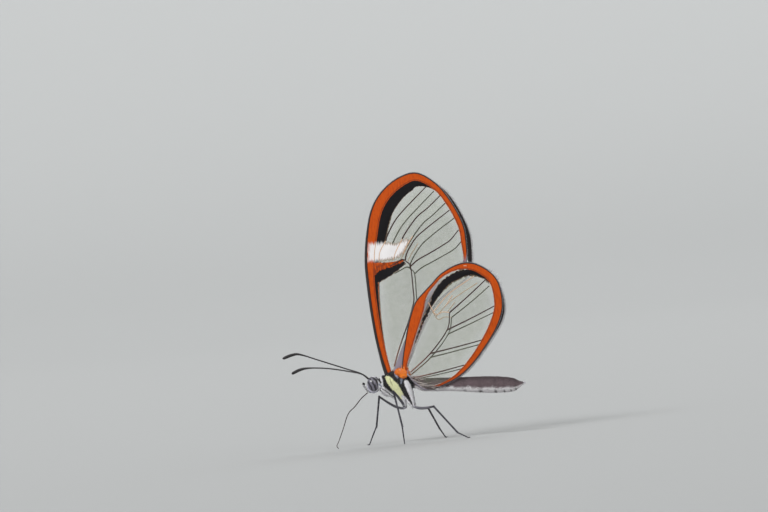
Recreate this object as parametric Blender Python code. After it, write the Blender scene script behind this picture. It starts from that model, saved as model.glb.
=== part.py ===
# A glasswing butterfly at life size. It stands on four legs with its tongue to the ground
# and its clear wings held up over its back. +X runs to the tail, -Y to its left, +Z up.
# Sizes below are millimetres. Points of the body count from the middle of the thorax.

import math

import bmesh
import bpy
import numpy as np
from mathutils import Matrix, Vector
from mathutils.geometry import delaunay_2d_cdt

MM = 0.001
GAP = 0.3                       # clear space between one piece and the next
SIDES = {"left": -1.0, "right": 1.0}
CUT_REACH = 4.0                 # how far a cutting block reaches
WELD_DISTANCE = 0.001           # points nearer than this are one
SHARP_ANGLE = math.radians(40)

# where the thorax hangs over the ground, and how far the body leans to its right
THORAX_PLACE = (-1.11, -1.6, 8.73)
BODY_LEAN = math.radians(7.5)

# thorax
MESOTHORAX = {"centre": (0.0, 0.0, 0.1), "radii": (2.05, 1.6, 2.1)}
METATHORAX = {"centre": (1.1, 0.0, -0.2), "radii": (1.15, 1.3, 1.6)}
PROTHORAX = {"centre": (-2.0, 0.0, -0.05), "radii": (0.95, 0.95, 1.35)}
COLLAR_FACE_X = -2.65
THORAX_END_X = 2.18
THORAX_END_HALF_WIDTH = 0.6
THORAX_END_HALF_HEIGHT = 2.0
MID_COXA = {"top": (0.25, 0.72, -0.9), "tip": (0.66, 0.76, -3.3)}
HIND_COXA = {"top": (1.35, 0.62, -0.8), "tip": (2.02, 0.72, -3.45)}
COXA_RADIUS = 0.62
COXA_TIP_RADIUS = 0.36
COXA_END_RADIUS = 0.375         # of the ball that rounds the end off

# head
HEAD_CENTRE = (-3.65, 0.0, -0.05)
HEAD_RADII = (0.86, 0.66, 1.2)
HEAD_HALF_WIDTH = 0.39
NECK_FACE_X = COLLAR_FACE_X - GAP
EYE_CENTRE = (-3.58, 0.06)
EYE_RADII = (0.76, 0.58, 1.06)
EYE_TILT = math.radians(12)
PALP_LINE = [(-4.42, 0.5, -0.95), (-4.8, 0.53, -0.78), (-5.02, 0.52, -0.3), (-5.07, 0.5, 0.3)]
PALP_RADIUS = 0.25
PALP_TIP_RADIUS = 0.14
PALP_STEP = 0.25

# antennae, with heights from the middle of the thorax but no lean
ANTENNA_ROOT = (-4.16, 0.4, 1.08)
ANTENNA_LINES = {
    "left": [
        (-5.1, -0.7, 1.83), (-7.2, -1.6, 2.8), (-10.4, -3.0, 4.25), (-13.1, -4.2, 5.45), (-14.2, -4.7, 5.5),
        (-15.6, -5.1, 5.1),
    ],
    "right": [
        (-5.2, 0.7, 1.7), (-7.5, 1.5, 2.35), (-10.4, 2.7, 2.95), (-13.1, 3.7, 3.22), (-14.5, 4.3, 3.1),
        (-15.75, 4.8, 2.68),
    ],
}
ANTENNA_STEP = 0.7
SHAFT_RADIUS = 0.25
CLUB_RADIUS = 0.36
CLUB_START = 0.72               # share of the length at which the club begins to swell
CLUB_FULL = 0.95                # and at which it is full
ANTENNA_TIP_RADIUS = 0.12

# tongue, with heights over the ground
TONGUE_ROOT = (-4.12, 0.0, -1.5)
TONGUE_LINE = [(-5.0, -0.2, 7.05), (-6.4, -0.15, 6.1), (-7.65, -0.1, 4.9), (-8.6, 0.0, 2.8),
               (-9.4, 0.0, 1.1), (-9.72, 0.0, 0.5), (-9.5, 0.0, 0.06)]
TONGUE_RADIUS = 0.25
TONGUE_TIP_RADIUS = 0.17
TONGUE_STEP = 0.55

# abdomen: place along X, middle height, half height, half width
ABDOMEN_PROFILE = [
    (2.5, -0.41, 0.62, 0.50),
    (3.5, -0.57, 0.90, 0.66),
    (4.7, -0.69, 0.98, 0.75),
    (7.6, -0.94, 1.00, 0.85),
    (10.5, -1.24, 1.12, 0.94),
    (13.0, -1.49, 1.22, 1.03),
    (15.0, -1.66, 1.18, 1.02),
    (16.3, -1.78, 1.04, 0.90),
    (16.95, -1.82, 0.84, 0.72),
    (17.45, -1.82, 0.54, 0.46),
    (17.95, -1.77, 0.27, 0.23),
]
ABDOMEN_TIP = (18.15, 0.0, -1.73)
TAIL_START_X = 16.5             # behind this the tail closes row by row
ABDOMEN_RINGS = 8
RING_STEP = 0.07                # how far one ring tucks into the next, as a share of its size
RING_RISE = 0.14                # share of a ring's length at which it reaches its full size
RING_END = 0.86                 # and at which it still has it
ABDOMEN_SEGMENTS = 18
PROFILE_EASE = 0.4              # how much of the profile's way between two rows is eased in and out

# legs, with heights over the ground: knee, ankle, foot, and how far the thigh bows up
LEGS = {
    "midleg_left": {
        "coxa": "mid", "line": [(-0.27, -3.6, 7.65), (0.55, -4.0, 2.75), (0.66, -4.0, 0.2)], "bow": 0.12,
    },
    "midleg_right": {
        "coxa": "mid", "line": [(-3.32, 2.9, 6.94), (-4.4, 4.9, 2.68), (-5.79, 5.6, 0.2)], "bow": -0.55,
    },
    "hindleg_left": {
        "coxa": "hind", "line": [(5.27, -3.2, 4.95), (8.41, -3.8, 0.95), (9.83, -3.9, 0.2)], "bow": -0.28,
    },
    "hindleg_right": {
        "coxa": "hind", "line": [(3.44, 4.2, 4.6), (4.43, 6.8, 1.45), (5.07, 7.6, 0.2)], "bow": -0.15,
    },
}
BOW_PLACE = 0.4                 # share of the thigh's length at which it bows most
THIGH_RADIUS = 0.28
THIGH_STEP = 1.1
KNEE_RADIUS = 0.31
SHIN_RADIUS = 0.26
HEEL_RADIUS = 0.285
FOOT_RADIUS = 0.26
TOE_RADIUS = 0.235
TOE_SPLAY = 0.8                 # how far a toe turns out from the way its foot points
FOOT_LENGTH = 0.55
FORELEG_LINE = [(-2.5, 1.42, -0.5), (-1.95, 1.45, -1.2), (-1.3, 1.38, -1.75), (-0.65, 1.2, -2.25)]
FORELEG_RADIUS = 0.26
FORELEG_TIP_RADIUS = 0.14
FORELEG_STEP = 0.3
GROUND_LOW = (-30.0, -30.0, -5.0)
GROUND_HIGH = (30.0, 30.0, 0.0)

# wings: each lies in its own plane, which opens from a hinge line on the thorax.
# Wing points are (back along the body, up the plane) from the middle of the thorax.
WING_HINGE = (0.9, 1.9)
WING_OPENING = math.radians(7.5)
WING_THICKNESS = 0.5
VEIN_HALF_WIDTH = 0.2
VEIN_HEIGHT = 0.09              # how far a vein stands up from each face
OUTLINE_STEP = 1.1
VEIN_STEP = 1.9
MESH_WELD = 0.02                # points of a wing's outline and veins nearer than this are one
INSIDE_ONLY = 1                 # the mesher keeps what lies inside the outline

FOREWING_OUTLINE = [
    (-1.15, 0.9), (-1.75, 2.3), (-2.4, 5.6), (-2.83, 9.9), (-3.02, 14.2), (-2.98, 17.7), (-2.42, 21.3),
    (-1.35, 24.95), (0.45, 27.5), (3.1, 29.25), (5.8, 29.65), (8.5, 27.75), (10.4, 24.9), (11.7, 21.7),
    (11.93, 19.0), (11.72, 16.5), (10.6, 14.7), (8.4, 13.35), (6.0, 11.1), (3.5, 6.9), (2.1, 3.9),
    (0.4, 1.3),
]
FOREWING_VEINS = {
    "costa": [
        (-1.2, 2.0), (-1.9, 5.8), (-2.2, 9.9), (-2.35, 14.2), (-2.15, 17.7), (-1.55, 21.2), (-0.3, 24.5),
        (1.5, 26.9), (3.6, 28.5),
    ],
    "stem": [
        (-0.2, 2.0), (0.61, 4.43), (1.56, 6.54), (2.41, 8.36), (3.09, 10.07), (3.56, 11.49),
        (3.61, 12.96), (3.54, 16.36), (2.91, 17.25),
    ],
    "crossbar": [(2.91, 17.25), (1.5, 16.9), (-0.5, 16.6), (-2.0, 16.5)],
    "first_ray": [(0.3, 16.8), (0.45, 19.2), (1.77, 22.9), (4.84, 25.83), (7.08, 27.71)],
    "second_ray": [(1.3, 16.9), (2.05, 19.0), (4.26, 22.42), (6.89, 24.56), (8.9, 26.1)],
    "third_ray": [(2.91, 17.25), (3.69, 19.13), (6.22, 21.51), (9.96, 23.9)],
    "fourth_ray": [(3.54, 16.36), (4.71, 17.23), (8.38, 18.91), (9.66, 19.62), (11.0, 20.9)],
    "anal": [(0.3, 2.4), (1.6, 4.6), (2.9, 7.3), (5.2, 10.9), (7.6, 13.25), (9.9, 14.8)],
}
HINDWING_OUTLINE = [
    (1.15, 1.6), (1.28, 3.2), (2.22, 7.2), (3.0, 9.5), (3.9, 11.3), (5.2, 12.55), (6.4, 13.6), (7.8, 14.85),
    (9.7, 15.8), (11.6, 16.18), (13.4, 15.7), (15.2, 14.35), (16.1, 12.75), (16.4, 10.4), (16.1, 8.5),
    (15.0, 6.2), (12.95, 3.5), (10.9, 1.35), (9.0, -0.05), (7.3, -0.8), (5.5, -1.35), (4.1, -1.42),
    (3.0, -0.7), (1.9, 0.6),
]
HINDWING_VEINS = {
    "costa": [(1.7, 1.6), (2.65, 6.2), (4.1, 10.6), (6.3, 13.0), (9.0, 15.0), (11.4, 15.7)],
    "stem": [(2.16, 1.27), (5.25, 3.68), (8.03, 6.83), (8.64, 9.28)],
    "first_ray": [(8.64, 9.28), (11.3, 11.2), (14.6, 13.65)],
    "second_ray": [(8.03, 6.83), (11.6, 8.15), (15.6, 9.75)],
    "third_ray": [(5.25, 3.68), (9.3, 4.3), (13.4, 5.0)],
    "fourth_ray": [(2.5, 0.5), (6.4, 0.95), (10.8, 1.95)],
    "crossbar": [(8.64, 9.28), (6.5, 9.3), (4.4, 9.5)],
    "upper_ray": [(6.5, 9.3), (8.8, 11.96), (12.5, 14.4)],
}
# layer: how far out the wing lies from the hinge's plane; right_slide and right_rise: where the
# right wing lies against the left one, along the body and, at these heights, up its plane;
# boss: the thick root, where it is and how far in from the layer
WINGS = {
    "forewing": {
        "outline": FOREWING_OUTLINE,
        "veins": FOREWING_VEINS,
        "layer": 0.0,
        "right_slide": -0.25,
        "right_rise": ((3.0, 19.0, 28.0), (-0.45, -0.45, 0.25)),
        "boss": {"at": (-0.7, 1.95), "inward": 0.0, "radii": (0.8, 0.42, 0.75)},
    },
    "hindwing": {
        "outline": HINDWING_OUTLINE,
        "veins": HINDWING_VEINS,
        "layer": 1.0,
        "right_slide": -0.45,
        "right_rise": ((-1.5, 3.0), (0.5, -0.3)),
        "boss": {"at": (1.0, 1.35), "inward": 0.3, "radii": (1.0, 0.75, 0.7)},
    },
}

COLOURS = {
    "thorax": (0.30, 0.29, 0.24),
    "head": (0.24, 0.23, 0.24),
    "eye": (0.10, 0.10, 0.12),
    "palp": (0.18, 0.17, 0.18),
    "antenna": (0.012, 0.010, 0.010),
    "tongue": (0.03, 0.02, 0.02),
    "abdomen": (0.20, 0.17, 0.18),
    "leg": (0.02, 0.017, 0.022),
    "foreleg": (0.45, 0.43, 0.42),
    "forewing": (0.55, 0.28, 0.16),
    "hindwing": (0.58, 0.30, 0.18),
}


def clear_scene():
    for thing in list(bpy.data.objects):
        bpy.data.objects.remove(thing, do_unlink=True)


def make_collection(name):
    collection = bpy.data.collections.new(name)
    bpy.context.scene.collection.children.link(collection)
    return collection


def make_material(name, colour, roughness):
    material = bpy.data.materials.new(name)
    material.use_nodes = True
    shader = material.node_tree.nodes["Principled BSDF"]
    shader.inputs["Base Color"].default_value = (*colour, 1.0)
    shader.inputs["Roughness"].default_value = roughness
    shader.inputs["Metallic"].default_value = 0.0
    return material


def add_object(name, mesh):
    thing = bpy.data.objects.new(name, mesh)
    PIECES.objects.link(thing)
    return thing


def finish(thing, kind, parent, roughness=0.6):
    """Gives a finished piece its material, smooth shading and parent."""
    thing.data.materials.clear()
    thing.data.materials.append(make_material(thing.name, COLOURS[kind], roughness))
    thing.data.shade_smooth()
    thing.data.set_sharp_from_angle(angle=SHARP_ANGLE)
    thing.parent = parent
    return thing


def evaluated_mesh(thing):
    """A copy of the object's mesh as its modifiers and curve settings leave it, with its ends welded."""
    graph = bpy.context.evaluated_depsgraph_get()
    mesh = bpy.data.meshes.new_from_object(thing.evaluated_get(graph))
    work = bmesh.new()
    work.from_mesh(mesh)
    bmesh.ops.remove_doubles(work, verts=work.verts, dist=WELD_DISTANCE * MM)
    bmesh.ops.recalc_face_normals(work, faces=work.faces)
    work.to_mesh(mesh)
    work.free()
    return mesh


def combine(target, others, operation):
    """Joins the others to the target or cuts them from it, and keeps its largest closed surface."""
    for other in others:
        modifier = target.modifiers.new("cut", "BOOLEAN")
        modifier.operation = operation
        modifier.solver = "EXACT"
        modifier.object = other
    mesh = evaluated_mesh(target)
    target.modifiers.clear()
    target.data = mesh
    for other in others:
        bpy.data.objects.remove(other, do_unlink=True)
    keep_largest(mesh)


def keep_largest(mesh):
    work = bmesh.new()
    work.from_mesh(mesh)
    unseen = set(work.verts)
    islands = []
    while unseen:
        island = {unseen.pop()}
        edge = list(island)
        while edge:
            vertex = edge.pop()
            for link in vertex.link_edges:
                other = link.other_vert(vertex)
                if other in unseen:
                    unseen.remove(other)
                    island.add(other)
                    edge.append(other)
        islands.append(island)
    largest = max(islands, key=len)
    scraps = [vertex for vertex in work.verts if vertex not in largest]
    bmesh.ops.delete(work, geom=scraps, context="VERTS")
    work.to_mesh(mesh)
    work.free()


def ellipsoid(name, centre, radii, segments=24, rings=16):
    work = bmesh.new()
    bmesh.ops.create_uvsphere(work, u_segments=segments, v_segments=rings, radius=MM)
    bmesh.ops.scale(work, vec=Vector(radii), verts=work.verts)
    bmesh.ops.translate(work, vec=Vector(centre) * MM, verts=work.verts)
    mesh = bpy.data.meshes.new(name)
    work.to_mesh(mesh)
    work.free()
    return add_object(name, mesh)


def ball(name, centre, radius):
    return ellipsoid(name, centre, (radius, radius, radius), 12, 8)


def block(name, low, high):
    work = bmesh.new()
    bmesh.ops.create_cube(work, size=1.0)
    low = Vector(low) * MM
    high = Vector(high) * MM
    bmesh.ops.scale(work, vec=high - low, verts=work.verts)
    bmesh.ops.translate(work, vec=(low + high) / 2, verts=work.verts)
    mesh = bpy.data.meshes.new(name)
    work.to_mesh(mesh)
    work.free()
    return add_object(name, mesh)


def tapered_rod(name, start, end, start_radius, end_radius, sides=10):
    """A straight round rod between two points."""
    start = Vector(start)
    end = Vector(end)
    work = bmesh.new()
    bmesh.ops.create_cone(work, cap_ends=True, segments=sides, radius1=start_radius, radius2=end_radius,
                          depth=(end - start).length)
    turn = Vector((0.0, 0.0, 1.0)).rotation_difference(end - start).to_matrix().to_4x4()
    bmesh.ops.transform(work, matrix=Matrix.Translation((start + end) / 2) @ turn, verts=work.verts)
    bmesh.ops.scale(work, vec=(MM, MM, MM), verts=work.verts)
    mesh = bpy.data.meshes.new(name)
    work.to_mesh(mesh)
    work.free()
    return add_object(name, mesh)


def smooth_line(points, step, closed=False):
    """Points about one step apart along a curve that passes through the given points."""
    points = [Vector(point) for point in points]
    count = len(points)
    spans = count if closed else count - 1
    line = []
    for index in range(spans):
        here = points[index]
        there = points[(index + 1) % count]
        before = points[(index - 1) % count] if closed or index > 0 else here * 2 - there
        after = points[(index + 2) % count] if closed or index < spans - 1 else there * 2 - here
        pieces = max(1, round((there - here).length / step))
        for piece in range(pieces):
            t = piece / pieces
            bend = (-0.5 * t + t * t - 0.5 * t ** 3, 1.0 - 2.5 * t * t + 1.5 * t ** 3,
                    0.5 * t + 2.0 * t * t - 1.5 * t ** 3, -0.5 * t * t + 0.5 * t ** 3)
            line.append(before * bend[0] + here * bend[1] + there * bend[2] + after * bend[3])
    if not closed:
        line.append(points[-1])
    return line


def tube(name, points, radii):
    """A round tube of changing radius along a line of points, with closed ends."""
    data = bpy.data.curves.new(name, "CURVE")
    data.dimensions = "3D"
    data.bevel_depth = MM
    data.bevel_resolution = 2
    data.use_fill_caps = True
    spline = data.splines.new("POLY")
    spline.points.add(len(points) - 1)
    for place, point, radius in zip(spline.points, points, radii):
        place.co = (*(point * MM), 1.0)
        place.radius = radius
    guide = add_object(name + "_line", data)
    mesh = evaluated_mesh(guide)
    mesh.materials.clear()
    bpy.data.objects.remove(guide, do_unlink=True)
    return add_object(name, mesh)


def taper(start, end, count, power=1):
    """Radii from start to end, later in their change the higher the power."""
    return [start + (end - start) * (index / (count - 1)) ** power for index in range(count)]


def lean(point):
    """A point of the leaning body, from the middle of the thorax but along level axes."""
    return Matrix.Rotation(-BODY_LEAN, 3, "X") @ Vector(point)


def over_ground(point):
    """A point of the leaning body, with its height over the ground."""
    return lean(point) + Vector((0.0, 0.0, THORAX_PLACE[2]))


def mirrored(point, side):
    return (point[0], point[1] * side, point[2])


def make_thorax():
    thorax = ellipsoid("thorax", MESOTHORAX["centre"], MESOTHORAX["radii"], 32, 20)
    parts = [ellipsoid("metathorax", METATHORAX["centre"], METATHORAX["radii"])]
    parts.append(ellipsoid("prothorax", PROTHORAX["centre"], PROTHORAX["radii"]))
    for side in SIDES.values():
        for coxa in (MID_COXA, HIND_COXA):
            top = mirrored(coxa["top"], side)
            tip = mirrored(coxa["tip"], side)
            parts.append(tapered_rod("coxa", top, tip, COXA_RADIUS, COXA_TIP_RADIUS, 12))
            parts.append(ball("coxa_end", tip, COXA_END_RADIUS))
    combine(thorax, parts, "UNION")
    front = block("front", (-CUT_REACH, -CUT_REACH, -CUT_REACH), (COLLAR_FACE_X, CUT_REACH, CUT_REACH))
    low = (THORAX_END_X, -THORAX_END_HALF_WIDTH, -THORAX_END_HALF_HEIGHT)
    high = (CUT_REACH, THORAX_END_HALF_WIDTH, THORAX_END_HALF_HEIGHT)
    back = block("back", low, high)
    combine(thorax, [front, back], "DIFFERENCE")
    return thorax


def make_head():
    """The face between the eyes, with flat cheeks that the eyes sit against."""
    head = ellipsoid("head", HEAD_CENTRE, HEAD_RADII, 28, 18)
    cuts = [block("neck", (NECK_FACE_X, -CUT_REACH, -CUT_REACH), (CUT_REACH, CUT_REACH, CUT_REACH))]
    for side in SIDES.values():
        inner = side * HEAD_HALF_WIDTH
        outer = side * CUT_REACH
        low = (-2 * CUT_REACH, min(inner, outer), -CUT_REACH)
        high = (CUT_REACH, max(inner, outer), CUT_REACH)
        cuts.append(block("cheek", low, high))
    combine(head, cuts, "DIFFERENCE")
    return head


def make_eye(name, side):
    """Half of an ellipsoid, its flat back a gap away from the cheek."""
    eye = ellipsoid(name, (0.0, 0.0, 0.0), EYE_RADII, 24, 16)
    low = (-CUT_REACH, min(0.0, -side * CUT_REACH), -CUT_REACH)
    high = (CUT_REACH, max(0.0, -side * CUT_REACH), CUT_REACH)
    combine(eye, [block("inner", low, high)], "DIFFERENCE")
    place = Matrix.Translation(Vector((EYE_CENTRE[0], side * (HEAD_HALF_WIDTH + GAP), EYE_CENTRE[1])) * MM)
    eye.data.transform(place @ Matrix.Rotation(-EYE_TILT, 4, "Y"))
    return eye


def make_palp(name, side):
    line = smooth_line([mirrored(point, side) for point in PALP_LINE], PALP_STEP)
    return tube(name, line, taper(PALP_RADIUS, PALP_TIP_RADIUS, len(line), 2))


def make_antenna(name, side_name):
    """A thin shaft that swells to a long club and closes to a blunt tip."""
    root = lean(mirrored(ANTENNA_ROOT, SIDES[side_name]))
    line = smooth_line([root] + ANTENNA_LINES[side_name], ANTENNA_STEP)
    last = len(line) - 1
    radii = []
    for index in range(last + 1):
        along = index / last
        swell = min(1.0, max(0.0, (along - CLUB_START) / (CLUB_FULL - CLUB_START)))
        radii.append(SHAFT_RADIUS + (CLUB_RADIUS - SHAFT_RADIUS) * math.sin(swell * math.pi / 2))
    radii[-1] = ANTENNA_TIP_RADIUS
    line = [point + Vector((0.0, 0.0, THORAX_PLACE[2])) for point in line]
    return tube(name, line, radii)


def make_tongue():
    line = smooth_line([over_ground(TONGUE_ROOT)] + TONGUE_LINE, TONGUE_STEP)
    tongue = tube("proboscis", line, taper(TONGUE_RADIUS, TONGUE_TIP_RADIUS, len(line)))
    cut_at_ground(tongue)
    return tongue


def cut_at_ground(thing):
    combine(thing, [block("ground", GROUND_LOW, GROUND_HIGH)], "DIFFERENCE")


def make_abdomen():
    """A soft spindle of rings, each tucked into the one in front of it."""
    profile = [Vector(row) for row in ABDOMEN_PROFILE]
    first = profile[0][0]
    length = profile[-1][0] - first
    stations = []
    for ring in range(ABDOMEN_RINGS):
        for share, scale in ((0.0, 1.0 - RING_STEP), (RING_RISE, 1.0), (RING_END, 1.0)):
            stations.append((first + length * (ring + share) / ABDOMEN_RINGS, scale))
    stations = [station for station in stations if station[0] < TAIL_START_X]
    stations.extend((row[0], 1.0) for row in profile if row[0] > TAIL_START_X)
    work = bmesh.new()
    rings = []
    for x, scale in stations:
        middle, half_height, half_width = profile_at(profile, x)
        ring = []
        for index in range(ABDOMEN_SEGMENTS):
            angle = 2 * math.pi * index / ABDOMEN_SEGMENTS
            y = half_width * scale * math.cos(angle)
            z = middle + half_height * scale * math.sin(angle)
            ring.append(work.verts.new(Vector((x, y, z)) * MM))
        rings.append(ring)
    for one, two in zip(rings, rings[1:]):
        for index in range(ABDOMEN_SEGMENTS):
            after = (index + 1) % ABDOMEN_SEGMENTS
            work.faces.new((one[index], one[after], two[after], two[index]))
    work.faces.new(rings[0])
    tip = work.verts.new(Vector(ABDOMEN_TIP) * MM)
    for index in range(ABDOMEN_SEGMENTS):
        work.faces.new((rings[-1][index], rings[-1][(index + 1) % ABDOMEN_SEGMENTS], tip))
    bmesh.ops.recalc_face_normals(work, faces=work.faces)
    mesh = bpy.data.meshes.new("abdomen")
    work.to_mesh(mesh)
    work.free()
    return add_object("abdomen", mesh)


def profile_at(profile, x):
    """Middle height, half height and half width of the abdomen at one place along it."""
    for here, there in zip(profile, profile[1:]):
        if x <= there[0]:
            share = (x - here[0]) / (there[0] - here[0])
            eased = share * share * (3 - 2 * share)
            row = here.lerp(there, eased * PROFILE_EASE + share * (1 - PROFILE_EASE))
            return row[1], row[2], row[3]
    return tuple(profile[-1])[1:]


def make_leg(name, settings):
    """Thigh, shin and a short foot laid on the ground, from the rounded end of the coxa."""
    side = SIDES[name.split("_")[1]]
    coxa = MID_COXA if settings["coxa"] == "mid" else HIND_COXA
    hip = over_ground(mirrored(coxa["tip"], side))
    knee, ankle, foot = (Vector(point) for point in settings["line"])
    bowed = hip.lerp(knee, BOW_PLACE) + Vector((0.0, 0.0, settings["bow"]))
    start = hip + (bowed - hip).normalized() * (COXA_END_RADIUS + GAP)
    line = smooth_line([start, bowed, knee], THIGH_STEP)
    leg = tube(name, line, taper(THIGH_RADIUS, SHIN_RADIUS, len(line)))
    outward = Vector((foot.x - ankle.x, foot.y - ankle.y + side * TOE_SPLAY, 0.0)).normalized()
    toe = foot + outward * FOOT_LENGTH
    parts = [ball("knee", knee, KNEE_RADIUS)]
    parts.append(tapered_rod("shin", knee, ankle, SHIN_RADIUS, SHIN_RADIUS))
    parts.append(ball("ankle", ankle, KNEE_RADIUS))
    parts.append(tapered_rod("tarsus", ankle, foot, SHIN_RADIUS, SHIN_RADIUS))
    parts.append(ball("heel", foot, HEEL_RADIUS))
    parts.append(tapered_rod("toe", foot, toe, FOOT_RADIUS, TOE_RADIUS))
    combine(leg, parts, "UNION")
    cut_at_ground(leg)
    return leg


def make_foreleg(name, side):
    """The small folded foreleg, held against the side of the chest."""
    line = smooth_line([mirrored(point, side) for point in FORELEG_LINE], FORELEG_STEP)
    return tube(name, line, taper(FORELEG_RADIUS, FORELEG_TIP_RADIUS, len(line), 3))


def wing_place(point, side, depth):
    """Where a wing point lies in the body: up the tilted plane, and depth out from it."""
    up = point[1] - WING_HINGE[1]
    y = WING_HINGE[0] + up * math.sin(WING_OPENING) + depth * math.cos(WING_OPENING)
    z = WING_HINGE[1] + up * math.cos(WING_OPENING) - depth * math.sin(WING_OPENING)
    return Vector((point[0], side * y, z))


def offset_line(line, distance):
    """The line moved sideways in its plane."""
    beside = []
    for index, point in enumerate(line):
        ahead = line[min(index + 1, len(line) - 1)]
        behind = line[max(index - 1, 0)]
        along = (ahead - behind).normalized()
        beside.append(point + Vector((-along.y, along.x)) * distance)
    return beside


def distance_to_line(point, line):
    least = math.inf
    for start, end in zip(line, line[1:]):
        span = end - start
        share = min(1.0, max(0.0, (point - start).dot(span) / span.length_squared))
        least = min(least, (point - start - span * share).length)
    return least


def moved(point, side, settings):
    """A point of the wing's plane where it lies on that side."""
    if side < 0:
        return point
    return point + Vector((settings["right_slide"], np.interp(point.y, *settings["right_rise"])))


def make_wing(name, side, settings):
    """A thin plate with its veins raised from both faces, triangles alike on the two."""
    layer = settings["layer"]
    boss = settings["boss"]
    rim = smooth_line(settings["outline"], OUTLINE_STEP, closed=True)
    vein_lines = [smooth_line(points, VEIN_STEP) for points in settings["veins"].values()]
    points = list(rim)
    edges = [(index, (index + 1) % len(rim)) for index in range(len(rim))]
    for line in vein_lines:
        for distance in (-VEIN_HALF_WIDTH, 0.0, VEIN_HALF_WIDTH):
            start = len(points)
            points.extend(offset_line(line, distance))
            edges.extend((index, index + 1) for index in range(start, len(points) - 1))
    found = delaunay_2d_cdt(points, edges, [list(range(len(rim)))], INSIDE_ONLY, MESH_WELD)
    flat_points = found[0]
    triangles = found[2]
    work = bmesh.new()
    sheets = []
    for facing in (-1.0, 1.0):
        sheet = []
        for point in flat_points:
            nearness = min(distance_to_line(point, line) for line in vein_lines)
            ridge = VEIN_HEIGHT * max(0.0, 1.0 - nearness / VEIN_HALF_WIDTH)
            depth = layer + facing * (WING_THICKNESS / 2 + ridge)
            sheet.append(work.verts.new(wing_place(moved(point, side, settings), side, depth) * MM))
        sheets.append(sheet)
    inner, outer = sheets
    for triangle in triangles:
        work.faces.new([outer[index] for index in triangle])
        work.faces.new([inner[index] for index in reversed(triangle)])
    uses = {}
    for triangle in triangles:
        for one, two in zip(triangle, triangle[1:] + triangle[:1]):
            uses[(one, two)] = uses.get((one, two), 0) + 1
    for one, two in uses:
        if (two, one) not in uses:
            work.faces.new((outer[two], outer[one], inner[one], inner[two]))
    loose = [vertex for vertex in work.verts if not vertex.link_faces]
    bmesh.ops.delete(work, geom=loose, context="VERTS")
    bmesh.ops.recalc_face_normals(work, faces=work.faces)
    mesh = bpy.data.meshes.new(name)
    work.to_mesh(mesh)
    work.free()
    wing = add_object(name, mesh)
    root = ellipsoid("root", wing_place(boss["at"], side, layer - boss["inward"]), boss["radii"], 20, 12)
    combine(wing, [root], "UNION")
    hollows = []
    for section in (MESOTHORAX, METATHORAX, PROTHORAX):
        grown = [radius + GAP for radius in section["radii"]]
        hollows.append(ellipsoid("hollow", section["centre"], grown, 28, 18))
    combine(wing, hollows, "DIFFERENCE")
    return wing


def make_wings(parent):
    for side_name, side in SIDES.items():
        for wing_name, settings in WINGS.items():
            wing = make_wing(wing_name + "_" + side_name, side, settings)
            finish(wing, wing_name, parent)


def make_empty(name, location, rotation):
    empty = bpy.data.objects.new(name, None)
    empty.location = Vector(location) * MM
    empty.rotation_euler = rotation
    PIECES.objects.link(empty)
    return empty


def main():
    body_stance = make_empty("body_stance", THORAX_PLACE, (-BODY_LEAN, 0.0, 0.0))
    ground_stance = make_empty("ground_stance", (THORAX_PLACE[0], THORAX_PLACE[1], 0.0), (0.0, 0.0, 0.0))
    finish(make_thorax(), "thorax", body_stance)
    finish(make_head(), "head", body_stance)
    finish(make_abdomen(), "abdomen", body_stance)
    finish(make_tongue(), "tongue", ground_stance)
    for side_name, side in SIDES.items():
        finish(make_eye("eye_" + side_name, side), "eye", body_stance, 0.25)
        finish(make_palp("palp_" + side_name, side), "palp", body_stance)
        finish(make_antenna("antenna_" + side_name, side_name), "antenna", ground_stance)
        finish(make_foreleg("foreleg_" + side_name, side), "foreleg", body_stance)
    for name, settings in LEGS.items():
        finish(make_leg(name, settings), "leg", ground_stance, 0.4)
    make_wings(body_stance)


clear_scene()
PIECES = make_collection("glasswing_butterfly")
main()
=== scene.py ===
# A glasswing butterfly at life size, dressed over its solid model.
# Sizes are millimetres. Points of the body count from the middle of the thorax,
# +x to the tail, +y to its right and +z up, before the body leans.

import math

import bpy
import numpy as np
from mathutils import Matrix, Vector


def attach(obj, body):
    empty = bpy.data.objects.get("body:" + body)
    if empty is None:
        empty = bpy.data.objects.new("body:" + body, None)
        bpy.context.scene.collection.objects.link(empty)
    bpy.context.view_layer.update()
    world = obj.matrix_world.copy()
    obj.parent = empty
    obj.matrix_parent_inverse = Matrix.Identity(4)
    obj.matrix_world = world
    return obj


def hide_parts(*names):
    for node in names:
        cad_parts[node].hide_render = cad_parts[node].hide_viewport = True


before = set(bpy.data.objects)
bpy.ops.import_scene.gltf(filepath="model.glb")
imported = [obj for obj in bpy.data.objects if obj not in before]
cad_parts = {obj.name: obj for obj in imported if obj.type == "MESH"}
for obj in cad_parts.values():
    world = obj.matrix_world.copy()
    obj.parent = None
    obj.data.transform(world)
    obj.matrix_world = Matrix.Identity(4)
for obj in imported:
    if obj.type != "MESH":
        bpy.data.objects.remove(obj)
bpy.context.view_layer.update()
mm = 0.001
sides = {"left": -1.0, "right": 1.0}
random = np.random.default_rng(7)

stance = {
    "thoraxPlace": (-1.11, -1.6, 8.73),  # middle of the thorax over the floor
    "lean": math.radians(7.5),  # the body leans to its right
    "wingHinge": (0.9, 1.9),  # out and up from the middle of the thorax
    "wingOpening": math.radians(7.5),
}


# places

def turnX(points, angle):
    # turned about x: y' = y cos + z sin, z' = z cos - y sin
    x, y, z = np.moveaxis(np.asarray(points, float), -1, 0)
    c, s = math.cos(angle), math.sin(angle)
    return np.stack([x, y * c + z * s, z * c - y * s], -1)


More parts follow.
